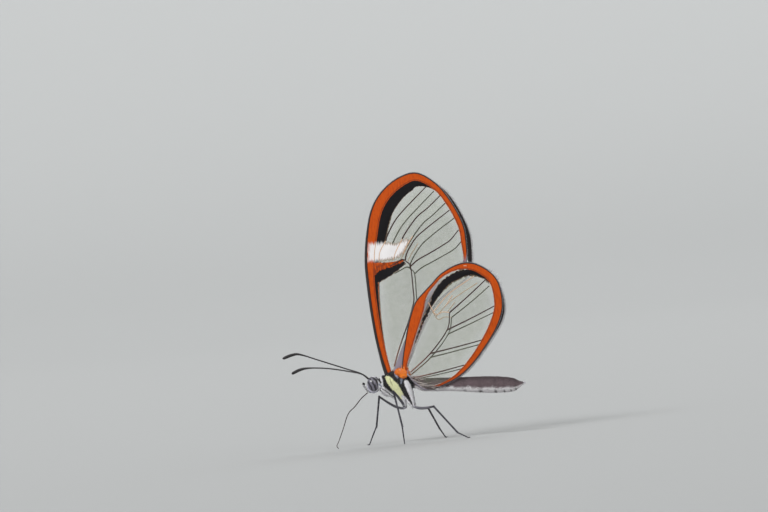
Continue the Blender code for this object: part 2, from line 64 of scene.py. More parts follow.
def turnY(x, y, z, angle):
    # turned about y: x' = x cos + z sin, z' = z cos - x sin
    c, s = math.cos(angle), math.sin(angle)
    return np.stack([x * c + z * s, y, z * c - x * s], -1)


def leanBody(points):
    # thorax place + points turned by the lean, in metres
    return (turnX(points, stance["lean"]) + stance["thoraxPlace"]) * mm


def unleanBody(points):
    # the way back: metres of the scene to millimetres of the upright body
    return turnX(np.asarray(points, float) / mm - stance["thoraxPlace"], -stance["lean"])


def overGround(points):
    # x and y from the thorax, heights over the floor, no lean
    return (np.asarray(points, float) + np.array(stance["thoraxPlace"]) * (1, 1, 0)) * mm


def unit(vectors):
    return vectors / np.linalg.norm(vectors, axis=-1, keepdims=True)


def softStep(value, first, last):
    # t t (3 - 2 t): rises from 0 at the first place to 1 at the last, whichever of them is higher
    t = np.clip((value - first) / (last - first), 0, 1)
    return t * t * (3 - 2 * t)


def mixed(a, b, share):
    # colour a where the share is 0, colour b where it is 1
    share = np.asarray(share, float)[..., None]
    return np.asarray(a) * (1 - share) + np.asarray(b) * share


def smoothCurve(points, count, closed=False):
    # Catmull-Rom through the rows, then read again at even steps of its own length
    rows = np.asarray(points, float)
    if closed:
        rows = np.vstack([rows[-1:], rows, rows[:2]])
    else:
        rows = np.vstack([2 * rows[:1] - rows[1:2], rows, 2 * rows[-1:] - rows[-2:-1]])
    spans = len(rows) - 3
    t = np.linspace(0, spans, spans * 24 + 1)
    i = np.minimum(t.astype(int), spans - 1)
    f = (t - i)[:, None]
    a, b, c, d = rows[i], rows[i + 1], rows[i + 2], rows[i + 3]
    square, cube = 2 * a - 5 * b + 4 * c - d, 3 * b - a - 3 * c + d
    curve = 0.5 * (2 * b + (c - a) * f + square * f ** 2 + cube * f ** 3)
    measured = curve[:, :2] if closed else curve
    length = np.append(0, np.cumsum(np.linalg.norm(np.diff(measured, axis=0), axis=1)))
    wanted = np.linspace(0, length[-1], count, endpoint=not closed)
    return np.stack([np.interp(wanted, length, column) for column in curve.T], -1)


def strokeDepth(x, up, stroke):
    # depth inside a brush stroke of changing width: brush radius there - distance to its line
    rows = [*stroke, stroke[-1]]
    best = np.full(np.shape(x), -99.0)
    for (ax, ay, ar), (bx, by, br) in zip(rows, rows[1:]):
        dx, dy = bx - ax, by - ay
        t = np.clip(((x - ax) * dx + (up - ay) * dy) / max(dx * dx + dy * dy, 1e-9), 0, 1)
        best = np.maximum(best, ar + (br - ar) * t - np.hypot(x - ax - t * dx, up - ay - t * dy))
    return best


def nearestOn(x, up, line):
    # row by row: which point of the line is nearest to each place, and how far it is
    found = []
    for rowX, rowUp in zip(x, up):
        gap = np.hypot(rowX[:, None] - line[:, 0], rowUp[:, None] - line[:, 1])
        found.append((gap.argmin(1), gap.min(1)))
    nearest, distance = np.moveaxis(np.array(found), 1, 0)
    return nearest.astype(int), distance


# meshes

def tubeParts(rings, wrapEnds=False):
    # rings of points carried along a path; quads between neighbours, a fan at each closed end
    n, m = rings.shape[:2]
    index = np.arange(n * m).reshape(n, m)
    here, there = (index, np.roll(index, -1, 0)) if wrapEnds else (index[:-1], index[1:])
    quads = np.stack([here, np.roll(here, -1, 1), np.roll(there, -1, 1), there], -1).reshape(-1, 4)
    points = rings.reshape(-1, 3)
    tris = np.zeros((0, 3), int)
    if not wrapEnds:
        first, last = index[0], index[-1]
        points = np.vstack([points, rings[0].mean(0), rings[-1].mean(0)])
        start = np.stack([np.roll(first, -1), first, np.full(m, n * m)], -1)
        end = np.stack([last, np.roll(last, -1), np.full(m, n * m + 1)], -1)
        tris = np.vstack([start, end])
    return outward(points, quads, tris)


def outward(points, quads, tris):
    # turns the faces round where the closed surface's signed volume, sum of a.(b x c) / 6, is negative
    corners = np.vstack([quads[:, :3], quads[:, [0, 2, 3]], tris])
    a, b, c = (points[corners[:, k]] - points.mean(0) for k in range(3))
    if np.einsum("ij,ij->", a, np.cross(b, c)) < 0:
        return points, quads[:, ::-1], tris[:, ::-1]
    return points, quads, tris


def joinParts(parts):
    # one list of points, with each part's faces counted on from where its points start
    starts = np.cumsum([0] + [len(part[0]) for part in parts])
    quads, tris = (np.vstack([part[k] + start for part, start in zip(parts, starts)]) for k in (1, 2))
    return np.vstack([part[0] for part in parts]), quads, tris


def carryProfile(path, radii, segments, up=(0, 1, 0)):
    # a round section of changing radius carried along the path; its axes are the path's cross with up
    along = unit(np.gradient(np.asarray(path, float), axis=0))
    across = unit(np.cross(along, up))
    over = np.cross(across, along)
    angle = np.linspace(0, 2 * math.pi, segments, endpoint=False)[None, :, None]
    radii = np.broadcast_to(np.asarray(radii, float), (len(path),))[:, None, None]
    ring = np.cos(angle) * across[:, None] + np.sin(angle) * over[:, None]
    return tubeParts(path[:, None] + ring * radii)


def roundForm(centre, radii, turn=0.0, segments=36, rings=22):
    # an ellipsoid: centre + radii * (sin a cos b, sin a sin b, cos a), turned about y
    a = np.linspace(0, math.pi, rings + 2)[1:-1, None]
    b = np.linspace(0, 2 * math.pi, segments, endpoint=False)[None]
    x, y, z = np.sin(a) * np.cos(b) * radii[0], np.sin(a) * np.sin(b) * radii[1], np.cos(a) * radii[2] + 0 * b
    return tubeParts(turnY(x, y, z, turn) + centre)


def ringForm(centre, radii, thickness, turn):
    # a torus on an ellipse: (radii + thickness cos b) * (cos a, sin a) in x and z, thickness sin b in y
    a = np.linspace(0, 2 * math.pi, 48, endpoint=False)[:, None]
    b = np.linspace(0, 2 * math.pi, 10, endpoint=False)[None]
    x = (radii[0] + thickness * np.cos(b)) * np.cos(a)
    z = (radii[1] + thickness * np.cos(b)) * np.sin(a)
    return tubeParts(turnY(x, thickness * np.sin(b) + 0 * a, z, turn) + centre, wrapEnds=True)


def makeMesh(name, parts):
    points, quads, tris = parts
    mesh = bpy.data.meshes.new(name)
    mesh.from_pydata(points.tolist(), [], quads.tolist() + tris.tolist())
    mesh.shade_smooth()
    return mesh


def addObject(name, data):
    added = bpy.data.objects.new(name, data)
    bpy.context.scene.collection.objects.link(added)
    return added


def addPiece(mesh, slot, replaces, *materials):
    # every piece rides the one body and takes the place of the solid nodes it replaces
    piece = addObject(mesh.name, mesh)
    for material in materials:
        mesh.materials.append(material)
    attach(piece, "root")
    if replaces:
        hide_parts(*replaces)
    return piece


def setNumber(mesh, name, values):
    layer = mesh.attributes.new(name, "FLOAT", "POINT")
    layer.data.foreach_set("value", np.asarray(values, np.float32).ravel())


def setTint(mesh, colours):
    layer = mesh.attributes.new("tint", "FLOAT_COLOR", "POINT")
    full = np.concatenate([colours, np.ones((len(colours), 1))], 1)
    layer.data.foreach_set("color", full.astype(np.float32).ravel())


def setMap(mesh, name, places):
    layer = mesh.uv_layers.new(name=name)
    corner = np.zeros(len(mesh.loops), np.int32)
    mesh.loops.foreach_get("vertex_index", corner)
    layer.data.foreach_set("uv", places[corner].astype(np.float32).ravel())


# materials

class Wire:
    # what comes out of a node; adding, taking away and multiplying put Math nodes after it
    def __init__(self, tree, socket):
        self.tree, self.socket = tree, socket

    def __add__(self, other):
        return mathNode("ADD", self, other)

    def __sub__(self, other):
        return mathNode("SUBTRACT", self, other)

    def __rsub__(self, other):
        return mathNode("SUBTRACT", other, self)

    def __mul__(self, other):
        return mathNode("MULTIPLY", self, other)


def feed(socket, value):
    # a wire is linked, anything else is set on the socket itself
    if isinstance(value, Wire):
        value.tree.links.new(value.socket, socket)
    else:
        socket.default_value = (*value, 1.0) if socket.type == "RGBA" else value


def addNode(tree, kind, output, inputs, **settings):
    # a node with its settings and its inputs: numbers, colours or wires
    node = tree.nodes.new("ShaderNode" + kind)
    for key, value in settings.items():
        setattr(node, key, value)
    for key, value in inputs.items():
        feed(node.inputs[key], value)
    return Wire(tree, node.outputs[output])


def mathNode(operation, a, b=0.0):
    tree = a.tree if isinstance(a, Wire) else b.tree
    return addNode(tree, "Math", 0, {0: a, 1: b}, operation=operation)


def larger(a, b):
    return mathNode("MAXIMUM", a, b)


def stepNode(value, low, high):
    # rises smoothly from 0 at low to 1 at high, or falls where low is the higher one
    limits = {"Value": value, "From Min": low, "From Max": high}
    return addNode(value.tree, "MapRange", "Result", limits, interpolation_type="SMOOTHSTEP")


def blend(share, a, b):
    # colour a where the share is 0, colour b where it is 1
    return addNode(share.tree, "Mix", 2, {"Factor": share, 6: a, 7: b}, data_type="RGBA")


def numberNode(tree, name, output="Fac"):
    return addNode(tree, "Attribute", output, {}, attribute_name=name)


def objectPlace(tree):
    return addNode(tree, "TexCoord", "Object", {})


def wingPlane(tree, squeeze, turn):
    # the place on the wing's flat map, turned and squeezed to draw a pattern out into streaks
    flat = addNode(tree, "UVMap", "UV", {}, uv_map="wingPlane")
    inputs = {"Vector": flat, "Scale": (1, squeeze, 1), "Rotation": (0, 0, turn)}
    return addNode(tree, "Mapping", "Vector", inputs)


def noiseNode(place, scale, detail):
    inputs = {"Vector": place, "Scale": scale, "Detail": detail, "Roughness": 0.6}
    return addNode(place.tree, "TexNoise", "Fac", inputs)


def bumpNode(shader, height, strength, distance):
    inputs = {"Strength": strength, "Distance": distance, "Height": height}
    feed(shader.inputs["Normal"], addNode(height.tree, "Bump", "Normal", inputs))


def newMaterial(name, finish):
    # finish holds what is the same all over the surface
    material = bpy.data.materials.new(name)
    material.use_nodes = True
    shader = material.node_tree.nodes["Principled BSDF"]
    for key, value in finish.items():
        feed(shader.inputs[key], value)
    return material, material.node_tree, shader


# wings

foreWing = {
    "layer": 0.0,  # out from the hinge's plane
    # the right wing against the left one: how far it lies along x, and up at these heights
    "rightSlide": -0.25,
    "rightRise": ((-1.5, 3.0, 19.0, 28.0), (-0.1, -0.45, -0.45, 0.25)),
    # how much longer it is along x, and the places and the heights over which that comes in
    "rightStretch": (0.12, (7.0, 10.0), (0.0, 1.0)),
    "middle": (4.0, 14.5),
    # x, up, width of the coloured margin, width of the black band inside it
    "outline": [
        (-1.15, 0.9, 0.8, 0.0), (-1.75, 2.3, 0.95, 0.0), (-2.4, 5.6, 1.05, 0.10), (-2.83, 9.9, 1.1, 0.28),
        (-3.02, 14.2, 1.2, 0.45), (-2.98, 17.7, 1.4, 0.6), (-2.42, 21.3, 1.58, 1.25),
        (-1.35, 24.95, 1.58, 1.5), (0.45, 27.5, 1.5, 1.55), (3.1, 29.25, 1.35, 1.35), (5.8, 29.65, 1.1, 1.1),
        (8.5, 27.75, 0.85, 0.1), (10.4, 24.9, 0.8, 0.0), (11.7, 21.7, 0.8, 0.0), (11.93, 19.0, 0.75, 0.0),
        (11.72, 16.5, 0.5, 0.0), (10.6, 14.7, 0.4, 0.0), (8.4, 13.35, 0.35, 0.0), (6.0, 11.1, 0.45, 0.0),
        (3.5, 6.9, 0.95, 0.0), (2.1, 3.9, 1.3, 0.0), (0.4, 1.3, 1.0, 0.0),
    ],
    "innerEdge": (0.70, 0.985),  # shares of the way round that hold the inner margin
    "greyBack": (2.0, 3.0),  # and those where the back's margin is grey, not dark
    "backMargin": (0.35, 8.0, 10.0),  # how much narrower the back's margin is, up to these places
    "costaRadius": (0.20, 0.22, 0.42),  # the front rim's swell and the shares where it thins away
    "fringeTuft": (0.0, -9.0, 0.1),
    "rightBand": 0.3,  # on the right wing: the black band's share,
    "rightMarks": (0.5, 1.05),  # how far the markings lie forward and up,
    "rightLess": {"bar": 0.12, "shade": 0.12, "white": 0.12, "pale": 0.0},  # how much they shrink,
    "rightThin": (0.75, 24.0, 28.0),  # how far and between which heights its margin thins
    "bar": [(-2.7, 16.5, 0.95), (-1.3, 16.55, 0.85), (0.2, 16.75, 0.55), (1.5, 17.0, 0.34),
            (2.6, 17.35, 0.2)],
    "shade": [(-1.9, 12.9, 0.16), (-1.6, 14.7, 0.40), (-0.9, 15.45, 0.72), (0.3, 15.9, 0.62),
              (1.5, 16.35, 0.44), (2.65, 16.95, 0.26)],
    "white": [(-2.5, 18.95, 1.22), (-1.0, 18.9, 1.25), (0.5, 18.85, 1.2), (1.4, 18.85, 1.05),
              (2.2, 19.1, 0.8), (3.3, 20.0, 0.35)],
    "pale": [(-9.0, -9.0, 0.1)],
    "veins": {
        "stem": [(-0.2, 2.3), (0.61, 4.43), (1.56, 6.54), (2.41, 8.36), (3.09, 10.07), (3.56, 11.49),
                 (3.61, 12.96), (3.54, 16.36), (2.91, 17.22)],
        "cross": [(2.91, 17.3), (2.4, 17.5), (1.5, 17.1), (0.6, 16.7)],
        "rayOne": [(0.35, 20.4), (0.63, 21.1), (1.77, 22.9), (2.99, 24.22), (4.84, 25.83), (7.08, 27.71)],
        "rayTwo": [(2.75, 20.45), (3.16, 21.09), (4.26, 22.42), (5.33, 23.51), (6.89, 24.56), (9.3, 26.5)],
        "rayThree": [(2.91, 17.3), (3.05, 18.0), (3.69, 19.13), (4.79, 20.46), (6.22, 21.51), (8.16, 22.76),
                     (9.96, 23.9), (10.8, 24.5)],
        "rayFour": [(3.54, 16.4), (4.71, 17.23), (6.48, 18.02), (8.38, 18.91), (9.66, 19.62), (10.86, 20.82),
                    (11.6, 21.5)],
    },
    "paleVeins": {
        "edgeOne": [(-1.6, 17.6), (-1.45, 18.9), (-1.1, 20.3)],
        "edgeTwo": [(-0.95, 17.7), (-0.6, 19.0), (0.35, 20.4)],
        "edgeThree": [(1.1, 17.5), (1.7, 18.8), (2.75, 20.45)],
        "edgeFour": [(2.6, 18.2), (3.3, 19.4), (4.3, 20.7)],
    },
}
hindWing = {
    "layer": 0.7,
    "rightSlide": -0.45,
    "rightRise": ((-1.5, 1.3, 3.0, 8.5, 12.0), (0.5, -0.1, -0.15, -0.1, -0.3)),
    "rightStretch": (-0.3, (6.0, 12.0), (8.5, 5.5)),
    "middle": (9.0, 7.5),
    "outline": [
        (1.1, 1.6, 0.6, 0.0), (1.2, 3.2, 0.85, 0.0), (2.22, 7.2, 1.45, 0.0), (3.0, 9.5, 1.65, 0.0),
        (3.9, 11.3, 1.5, 0.0), (5.2, 12.55, 0.72, 0.0), (6.4, 13.6, 0.5, 0.0), (7.8, 14.85, 0.55, 0.0),
        (9.7, 15.8, 0.7, 0.0), (11.6, 16.18, 0.95, 0.0), (13.4, 15.7, 1.05, 0.0), (15.2, 14.35, 1.1, 0.0),
        (16.1, 12.75, 1.15, 0.0), (16.4, 10.4, 1.2, 0.0), (16.1, 8.5, 1.2, 0.0), (15.0, 6.2, 1.15, 0.0),
        (12.95, 3.5, 0.95, 0.0), (10.9, 1.35, 0.8, 0.0), (9.0, -0.05, 0.6, 0.0), (7.3, -0.8, 0.42, 0.0),
        (5.5, -1.35, 0.36, 0.0), (4.1, -1.42, 0.2, 0.0), (3.0, -0.7, 0.2, 0.0), (1.9, 0.6, 0.2, 0.0),
    ],
    "innerEdge": (0.918, 0.99),
    "greyBack": (0.03, 0.34),
    "backMargin": (0.35, 12.5, 14.5),
    "costaRadius": (0.075, 0.1, 0.3),
    "fringeTuft": (15.7, 14.3, 1.4),
    "rightBand": 1.0,
    "rightMarks": (0.35, 0.85),
    "rightLess": {"bar": 0.45, "shade": 0.12, "white": 0.0, "pale": 0.35},
    "rightThin": (0.55, 12.0, 14.0),
    "bar": [(0.7, 1.5, 0.85), (1.3, 1.6, 0.6)],
    "shade": [(2.9, 4.6, 0.04), (3.8, 6.6, 0.14), (4.95, 8.8, 0.21), (6.1, 10.6, 0.26), (6.70, 11.68, 0.44),
              (7.68, 12.95, 0.57), (8.97, 13.9, 0.58), (10.4, 14.55, 0.55), (11.79, 14.78, 0.47),
              (13.11, 14.56, 0.38), (14.21, 13.7, 0.22), (15.07, 12.59, 0.06)],
    "white": [(-9.0, -9.0, 0.1)],
    "pale": [(2.3, 3.4, 0.10), (3.4, 6.2, 0.14), (4.6, 9.2, 0.18), (5.6, 11.2, 0.24), (6.2, 12.4, 0.42),
             (7.0, 13.35, 0.28), (7.9, 13.95, 0.12)],
    "veins": {
        "stem": [(2.16, 1.27), (5.25, 3.68), (8.03, 6.83), (8.64, 9.28)],
        "rayOne": [(8.64, 9.28), (11.3, 11.2), (14.14, 13.37), (14.9, 13.9)],
        "rayTwo": [(8.03, 6.83), (11.6, 8.15), (15.2, 9.61), (15.9, 9.9)],
        "rayThree": [(5.25, 3.68), (9.3, 4.3), (13.45, 5.01), (14.2, 5.2)],
        "rayFour": [(2.46, 0.41), (6.4, 0.95), (10.37, 1.64)],
    },
    "paleVeins": {
        "crossOne": [(8.64, 9.28), (7.6, 9.45), (6.58, 9.22), (5.71, 11.01)],
        "crossTwo": [(6.36, 9.64), (8.8, 11.96), (12.66, 14.17)],
        "crossThree": [(8.11, 10.22), (9.27, 11.67)],
        "spot": [(11.3, 15.75), (11.75, 15.72)],
    },
}
wingSheet = {
    "around": 420,
    "outward": 52,
    "crowding": 1.5,  # how far the rows crowd toward the rim
    "halfThickness": 0.028,
    "sag": 0.10,  # how far the membrane bellies between its veins
    "sagReach": 1.3,
    "rightInnerThin": (0.85, 7.0, 9.5),  # how far the right inner margins thin, and between which heights
    "veinRadius": 0.105,
    "veinTipRadius": 0.075,
    "paleVeinRadius": 0.06,
    "edgeRadius": 0.065,
}
wingColours = {
    "orange": (0.60, 0.082, 0.001),
    "orangeDeep": (0.38, 0.040, 0.001),
    "black": (0.006, 0.0045, 0.006),
    "brown": (0.022, 0.014, 0.013),
    "white": (0.93, 0.90, 0.90),
    "lavender": (0.33, 0.29, 0.35),
    "membrane": (0.37, 0.41, 0.28),
    "veinFront": (0.040, 0.014, 0.009),
    "veinBack": (0.016, 0.011, 0.011),
    "veinPale": (0.70, 0.45, 0.30),
    "veinRoot": (0.24, 0.12, 0.09),
    "fringe": (0.52, 0.49, 0.53),
}
veinTints = {
    "veins": ("veinFront", "veinBack"),
    "paleVeins": ("veinPale", "veinPale"),
    "rim": ("brown", "veinBack"),
}
wingFinish = {
    # noises on the wing's flat map: scale, detail, squeeze and turn
    "noises": {
        "fray": (70, 4, 1, 0), "grain": (160, 3, 1, 0), "cloud": (9, 4, 1, 0), "lump": (14, 3, 1, 0),
        "glintSpeck": (75, 2, 1, 0), "streak": (45, 3, 0.22, 0.5), "rays": (75, 4, 0.10, -0.5),
    },
    # how deep inside its edge each marking comes in
    "masks": {
        "margin": (-0.03, 0.05), "band": (-0.05, 0.08), "pale": (-0.06, 0.12), "bar": (-0.05, 0.06),
        "shade": (-0.06, 0.08), "white": (-0.32, 0.36),
    },
    # how far each of these noises shifts the markings' edges
    "ragged": {"fray": 0.22, "lump": 0.6, "rays": 1.3},
    "rimLine": (0.13, 0.06),  # the dark line at the rim: from here out it darkens
    "marginLine": (0.14, 0.09, 0.03),  # and the one along the margin: its depth, and its soft edge
    "milk": (0.05, 0.12, 0.34),  # how much the clear part hides: everywhere, in clouds, in specks
    "inland": (-0.1, -1.6),  # how much the clear part hides: everywhere, in clouds, in the painted glints
    # painted glints on the clear membrane: from and to which noise a speck turns white
    "glintSpecks": (0.62, 0.70),
    "streaks": (0.42, 0.72, 0.55),  # from and to which noise the streaks darken, and how much
    "barStreaks": (0.40, 0.60, 0.65),
}


def wingPlace(spec, x, up, depth, side):
    # hinge + (up - hinge height) along the opened plane + depth out along its normal; the right wings lie
    # a little otherwise: x + slide + stretch toward the tail side, up + a rise read from its own short table
    out, height = stance["wingHinge"]
    c, s = math.cos(stance["wingOpening"]), math.sin(stance["wingOpening"])
    x, up = np.asarray(x, float), np.asarray(up, float)
    if side > 0:
        stretch, overX, overUp = spec["rightStretch"]
        x = x + spec["rightSlide"] + stretch * softStep(x, *overX) * softStep(up, *overUp)
        up = up + np.interp(up, *spec["rightRise"])
    rise = up - height
    depth = depth + spec["layer"]
    y = out + rise * s + depth * c
    return leanBody(np.stack([x + 0 * y, side * y, height + rise * c - depth * s], -1))


def wingWays(spec, x, up, depth, side, ahead, higher, lift=0.0):
    # a root on the wing, the way from it to a place ahead and higher, and the way out of the wing
    root = wingPlace(spec, x, up, depth, side)
    lie = unit(wingPlace(spec, x + ahead, up + higher, depth + lift, side) - root)
    return root, lie, unit(wingPlace(spec, x, up, depth + 1.0, side) - root)


def wingField(spec, side):
    # rows from the middle out to the rim; each point knows its distance from the rim, veins and markings
    rim = smoothCurve(spec["outline"], wingSheet["around"], closed=True)
    share = 1 - (1 - np.linspace(0, 1, wingSheet["outward"] + 1)[1:]) ** wingSheet["crowding"]
    flat = spec["middle"] + (rim[None, :, :2] - spec["middle"]) * share[:, None, None]
    x, up = flat[..., 0], flat[..., 1]
    fine = smoothCurve(spec["outline"], 900, closed=True)
    nearest, edge = nearestOn(x, up, fine)
    width, band = fine[nearest, 2], fine[nearest, 3]
    way = nearest / len(fine)
    low, high = spec["innerEdge"]
    inner = softStep(way, low - 0.012, low + 0.012) * softStep(way, high + 0.008, high - 0.008)
    low, high = spec["greyBack"]
    grey = softStep(way, low - 0.01, low + 0.01) * softStep(way, high + 0.02, high - 0.02)
    right = float(side > 0)
    thinning, *over = spec["rightThin"]
    width = width * (1 - right * thinning * softStep(up, *over))
    thinning, *over = wingSheet["rightInnerThin"]
    width = width * (1 - right * thinning * inner * softStep(up, *over))
    band = band * (spec["rightBand"] if side > 0 else 1)
    field = {"x": x, "up": up, "edge": edge, "margin": width - edge, "band": width + band - edge,
             "inner": inner, "grey": grey}
    forward, higher = np.multiply.outer(spec["rightMarks"], softStep(up, 2.0, 9.0) * right)
    for marking in ("bar", "shade", "white", "pale"):
        inside = strokeDepth(x + forward, up - higher, spec[marking])
        field[marking] = inside - right * spec["rightLess"][marking]
    field["white"] = np.minimum(field["white"], edge - 0.5)
    veins = [smoothCurve(line, 60) for kind in ("veins", "paleVeins") for line in spec[kind].values()]
    reach = wingSheet["sagReach"]
    belly = np.minimum(nearestOn(x, up, np.vstack(veins))[1], reach) / reach
    field["sag"] = wingSheet["sag"] * softStep(belly, 0, 1) * softStep(edge, 0, 1.5)
    return field


def makeWingSheet(label, spec, side):
    # one closed sheet: front middle, front rows out to the rim, and back rows in again to the back middle
    field = wingField(spec, side)
    thickness = wingSheet["halfThickness"] * softStep(field["edge"], -0.02, 0.15)
    thickness[-1] = 0
    narrower, low, high = spec["backMargin"]
    backMargin = field["margin"] - narrower * softStep(field["x"], high, low)

    def bothFaces(front, back):
        return np.vstack([front, back[-2::-1]])

    x, up = (bothFaces(field[key], field[key]) for key in ("x", "up"))
    depth = bothFaces(field["sag"] + thickness, field["sag"] - thickness)
    parts = tubeParts(wingPlace(spec, x, up, depth, side))
    mesh = makeMesh(label + "_sheet", parts)
    for number in ("edge", "margin", "band", "inner", "grey", "bar", "shade", "white", "pale"):
        rows = bothFaces(field[number], backMargin if number == "margin" else field[number])
        setNumber(mesh, number, np.append(rows, [field[number][0].mean()] * 2))
    flat = np.stack([x, up], -1).reshape(-1, 2)
    setMap(mesh, "wingPlane", np.vstack([flat, [spec["middle"]] * 2]) / 10)
    addPiece(mesh, "membrane", [label], wingFront, wingBack)
    quadCount = len(parts[1])
    back = np.zeros(len(mesh.polygons), np.int32)
    back[quadCount // 2:quadCount] = 1
    back[quadCount + wingSheet["around"]:] = 1
    mesh.polygons.foreach_set("material_index", back)


def veinLines(spec):
    # path, radius and kind of each vein, and of the rim itself
    fine = smoothCurve(spec["outline"], 900, closed=True)
    lines = []
    for kind, radius in (("veins", wingSheet["veinRadius"]), ("paleVeins", wingSheet["paleVeinRadius"])):
        for line in spec[kind].values():
            path = smoothCurve(line, max(12, int(5 * np.linalg.norm(np.diff(line, axis=0), axis=1).sum())))
            if kind == "veins":
                nearest, gap = nearestOn(*path.T[:, None], fine)
                inMargin = gap[0] < fine[nearest[0], 2] - 0.1
                inMargin[:len(path) // 2] = False
                path = path[~inMargin]
            thin = np.linspace(radius, min(radius, wingSheet["veinTipRadius"]), len(path))
            lines.append((path, thin, kind))
    rim = smoothCurve(spec["outline"], 380, closed=True)[:, :2]
    way = np.arange(len(rim)) / len(rim)
    swell, thinFrom, thinTo = spec["costaRadius"]
    costa = softStep(way, thinTo, thinFrom)
    costa[way > 0.97] = 1
    radius = wingSheet["edgeRadius"] + (swell - wingSheet["edgeRadius"]) * costa
    rim = rim + unit(spec["middle"] - rim) * radius[:, None]
    lines.append((np.vstack([rim, rim[:1]]), np.append(radius, radius[0]), "rim"))
    return lines


def makeVeins(label, spec, side):
    # a thin tube along each vein and round the rim, front half and back half in their own colours
    parts, tints = [], []
    angle = np.linspace(0, 2 * math.pi, 8, endpoint=False)
    for path, radius, kind in veinLines(spec):
        along = unit(np.gradient(path, axis=0))
        over = np.cos(angle) * radius[:, None]
        x = path[:, 0, None] - along[:, 1, None] * over
        up = path[:, 1, None] + along[:, 0, None] * over
        rise = np.sin(angle) * radius[:, None] * 0.8
        parts.append(tubeParts(wingPlace(spec, x, up, 0.02 + rise, side)))
        front, back = (wingColours[tint] for tint in veinTints[kind])
        colour = np.where(rise[..., None] > -0.001, front, back)
        if kind == "rim":
            low, high = spec["innerEdge"]
            way = np.linspace(0, 1, len(path))[:, None]
            inner = softStep(way, low - 0.02, low) * softStep(way, high + 0.01, high)
            colour = mixed(colour, wingColours["lavender"], inner)
        else:
            white = softStep(strokeDepth(x, up, spec["white"]), -0.1, 0.1)
            colour = mixed(colour, wingColours["veinPale"], white)
            root = softStep(np.hypot(x - 0.8, up - 1.4), 6.0, 2.0)
            colour = mixed(colour, wingColours["veinRoot"], root)
        flat = colour.reshape(-1, 3)
        tints.append(np.vstack([flat, flat[:1], flat[-1:]]))
    mesh = makeMesh(label + "_veins", joinParts(parts))
    setTint(mesh, np.vstack(tints))
    addPiece(mesh, "membrane", (), veinFinish)


def wingMaterial(name, back):
    # scaled margins, bar and white band over a milky clear membrane with painted glints; the back has dark
    # margins
    colours = wingColours
    material, tree, shader = newMaterial(name, {"Specular IOR Level": 0.2})
    noise = {}
    for key, (scale, detail, squeeze, turn) in wingFinish["noises"].items():
        noise[key] = noiseNode(wingPlane(tree, squeeze, turn), scale, detail)
    fray, lump, rays = ((noise[key] - 0.5) * amount for key, amount in wingFinish["ragged"].items())
    lump = lump + fray * 1.8
    ragged = {"margin": fray, "band": fray, "pale": fray, "bar": fray * 1.6, "shade": lump, "white": rays}
    depth = {key: numberNode(tree, key) + edge for key, edge in ragged.items()}
    mask = {key: stepNode(depth[key], *over) for key, over in wingFinish["masks"].items()}
    inner = numberNode(tree, "inner")
    marked = larger(mask["margin"], mask["bar"])
    solid = larger(marked, mask["white"])
    if back:
        scaled = blend(noise["grain"] * 0.7, colours["black"], colours["brown"])
        scaled = blend(larger(numberNode(tree, "grey"), inner), scaled, colours["lavender"])
    else:
        solid = larger(larger(solid, larger(mask["shade"], mask["band"])), mask["pale"] * 0.8)
        low, high, much = wingFinish["streaks"]
        streaks = stepNode(noise["streak"], low, high) * much
        scaled = blend(streaks, colours["orange"], colours["orangeDeep"])
        place, *over = wingFinish["marginLine"]
        line = stepNode(mathNode("ABSOLUTE", depth["margin"] - place), *over)
        scaled = blend(line * 0.55, scaled, colours["brown"])
        low, high, much = wingFinish["barStreaks"]
        darker = blend(stepNode(noise["streak"], low, high) * much, scaled, colours["brown"])
        scaled = blend(mask["bar"] - mask["margin"], scaled, darker)
        scaled = blend(inner, scaled, colours["lavender"])
        beyond = 1.0 - marked
        scaled = blend(mask["pale"] * beyond, scaled, colours["lavender"])
        dark = larger(mask["band"] * beyond, mask["shade"]) * (1.0 - mask["margin"])
        scaled = blend(dark, scaled, colours["black"])
    scaled = blend(mask["white"], scaled, colours["white"])
    rimLine = stepNode(numberNode(tree, "edge") + fray * 0.3, *wingFinish["rimLine"])
    scaled = blend(rimLine * (1.0 - inner), scaled, colours["black"])
    # painted highlight: tiny white glints on the clear membrane, which also hide a little more of what lies
    # behind
    glintSpeck = stepNode(noise["glintSpeck"], *wingFinish["glintSpecks"])
    clear = blend(glintSpeck, colours["membrane"], colours["white"])
    feed(shader.inputs["Base Color"], blend(solid, clear, scaled))
    inland = stepNode(numberNode(tree, "band"), *wingFinish["inland"]) * 0.5 + 0.5
    everywhere, clouds, glintSpecks = wingFinish["milk"]
    milk = (noise["cloud"] * clouds + everywhere) * inland + glintSpeck * glintSpecks
    feed(shader.inputs["Alpha"], larger(solid, milk))
    feed(shader.inputs["Roughness"], solid * 0.35 + 0.28)
    bumpNode(shader, noise["grain"], 0.5, 0.00004)
    return material


def tintMaterial(name, roughness, sheen=0.0, coat=0.0, grain=0.25):
    # the piece's own tint, broken up by a fine grain
    finish = {"Roughness": roughness, "Sheen Weight": sheen, "Coat Weight": coat}
    material, tree, shader = newMaterial(name, finish)
    noise = noiseNode(objectPlace(tree), 9000, 4)
    shade = addNode(tree, "MapRange", "Result", {"Value": noise, "To Min": 1 - grain, "To Max": 1 + grain})
    tint = {0: numberNode(tree, "tint", "Color"), "Scale": shade}
    feed(shader.inputs["Base Color"], addNode(tree, "VectorMath", "Vector", tint, operation="SCALE"))
    bumpNode(shader, noise, 0.6, 0.00003)
    return material


wingFront = wingMaterial("wingFrontScales", False)
wingBack = wingMaterial("wingBackScales", True)
veinFinish = tintMaterial("veinHorn", 0.5)
hairFinish = tintMaterial("hair", 0.75, sheen=0.2, grain=0.15)


# tufts

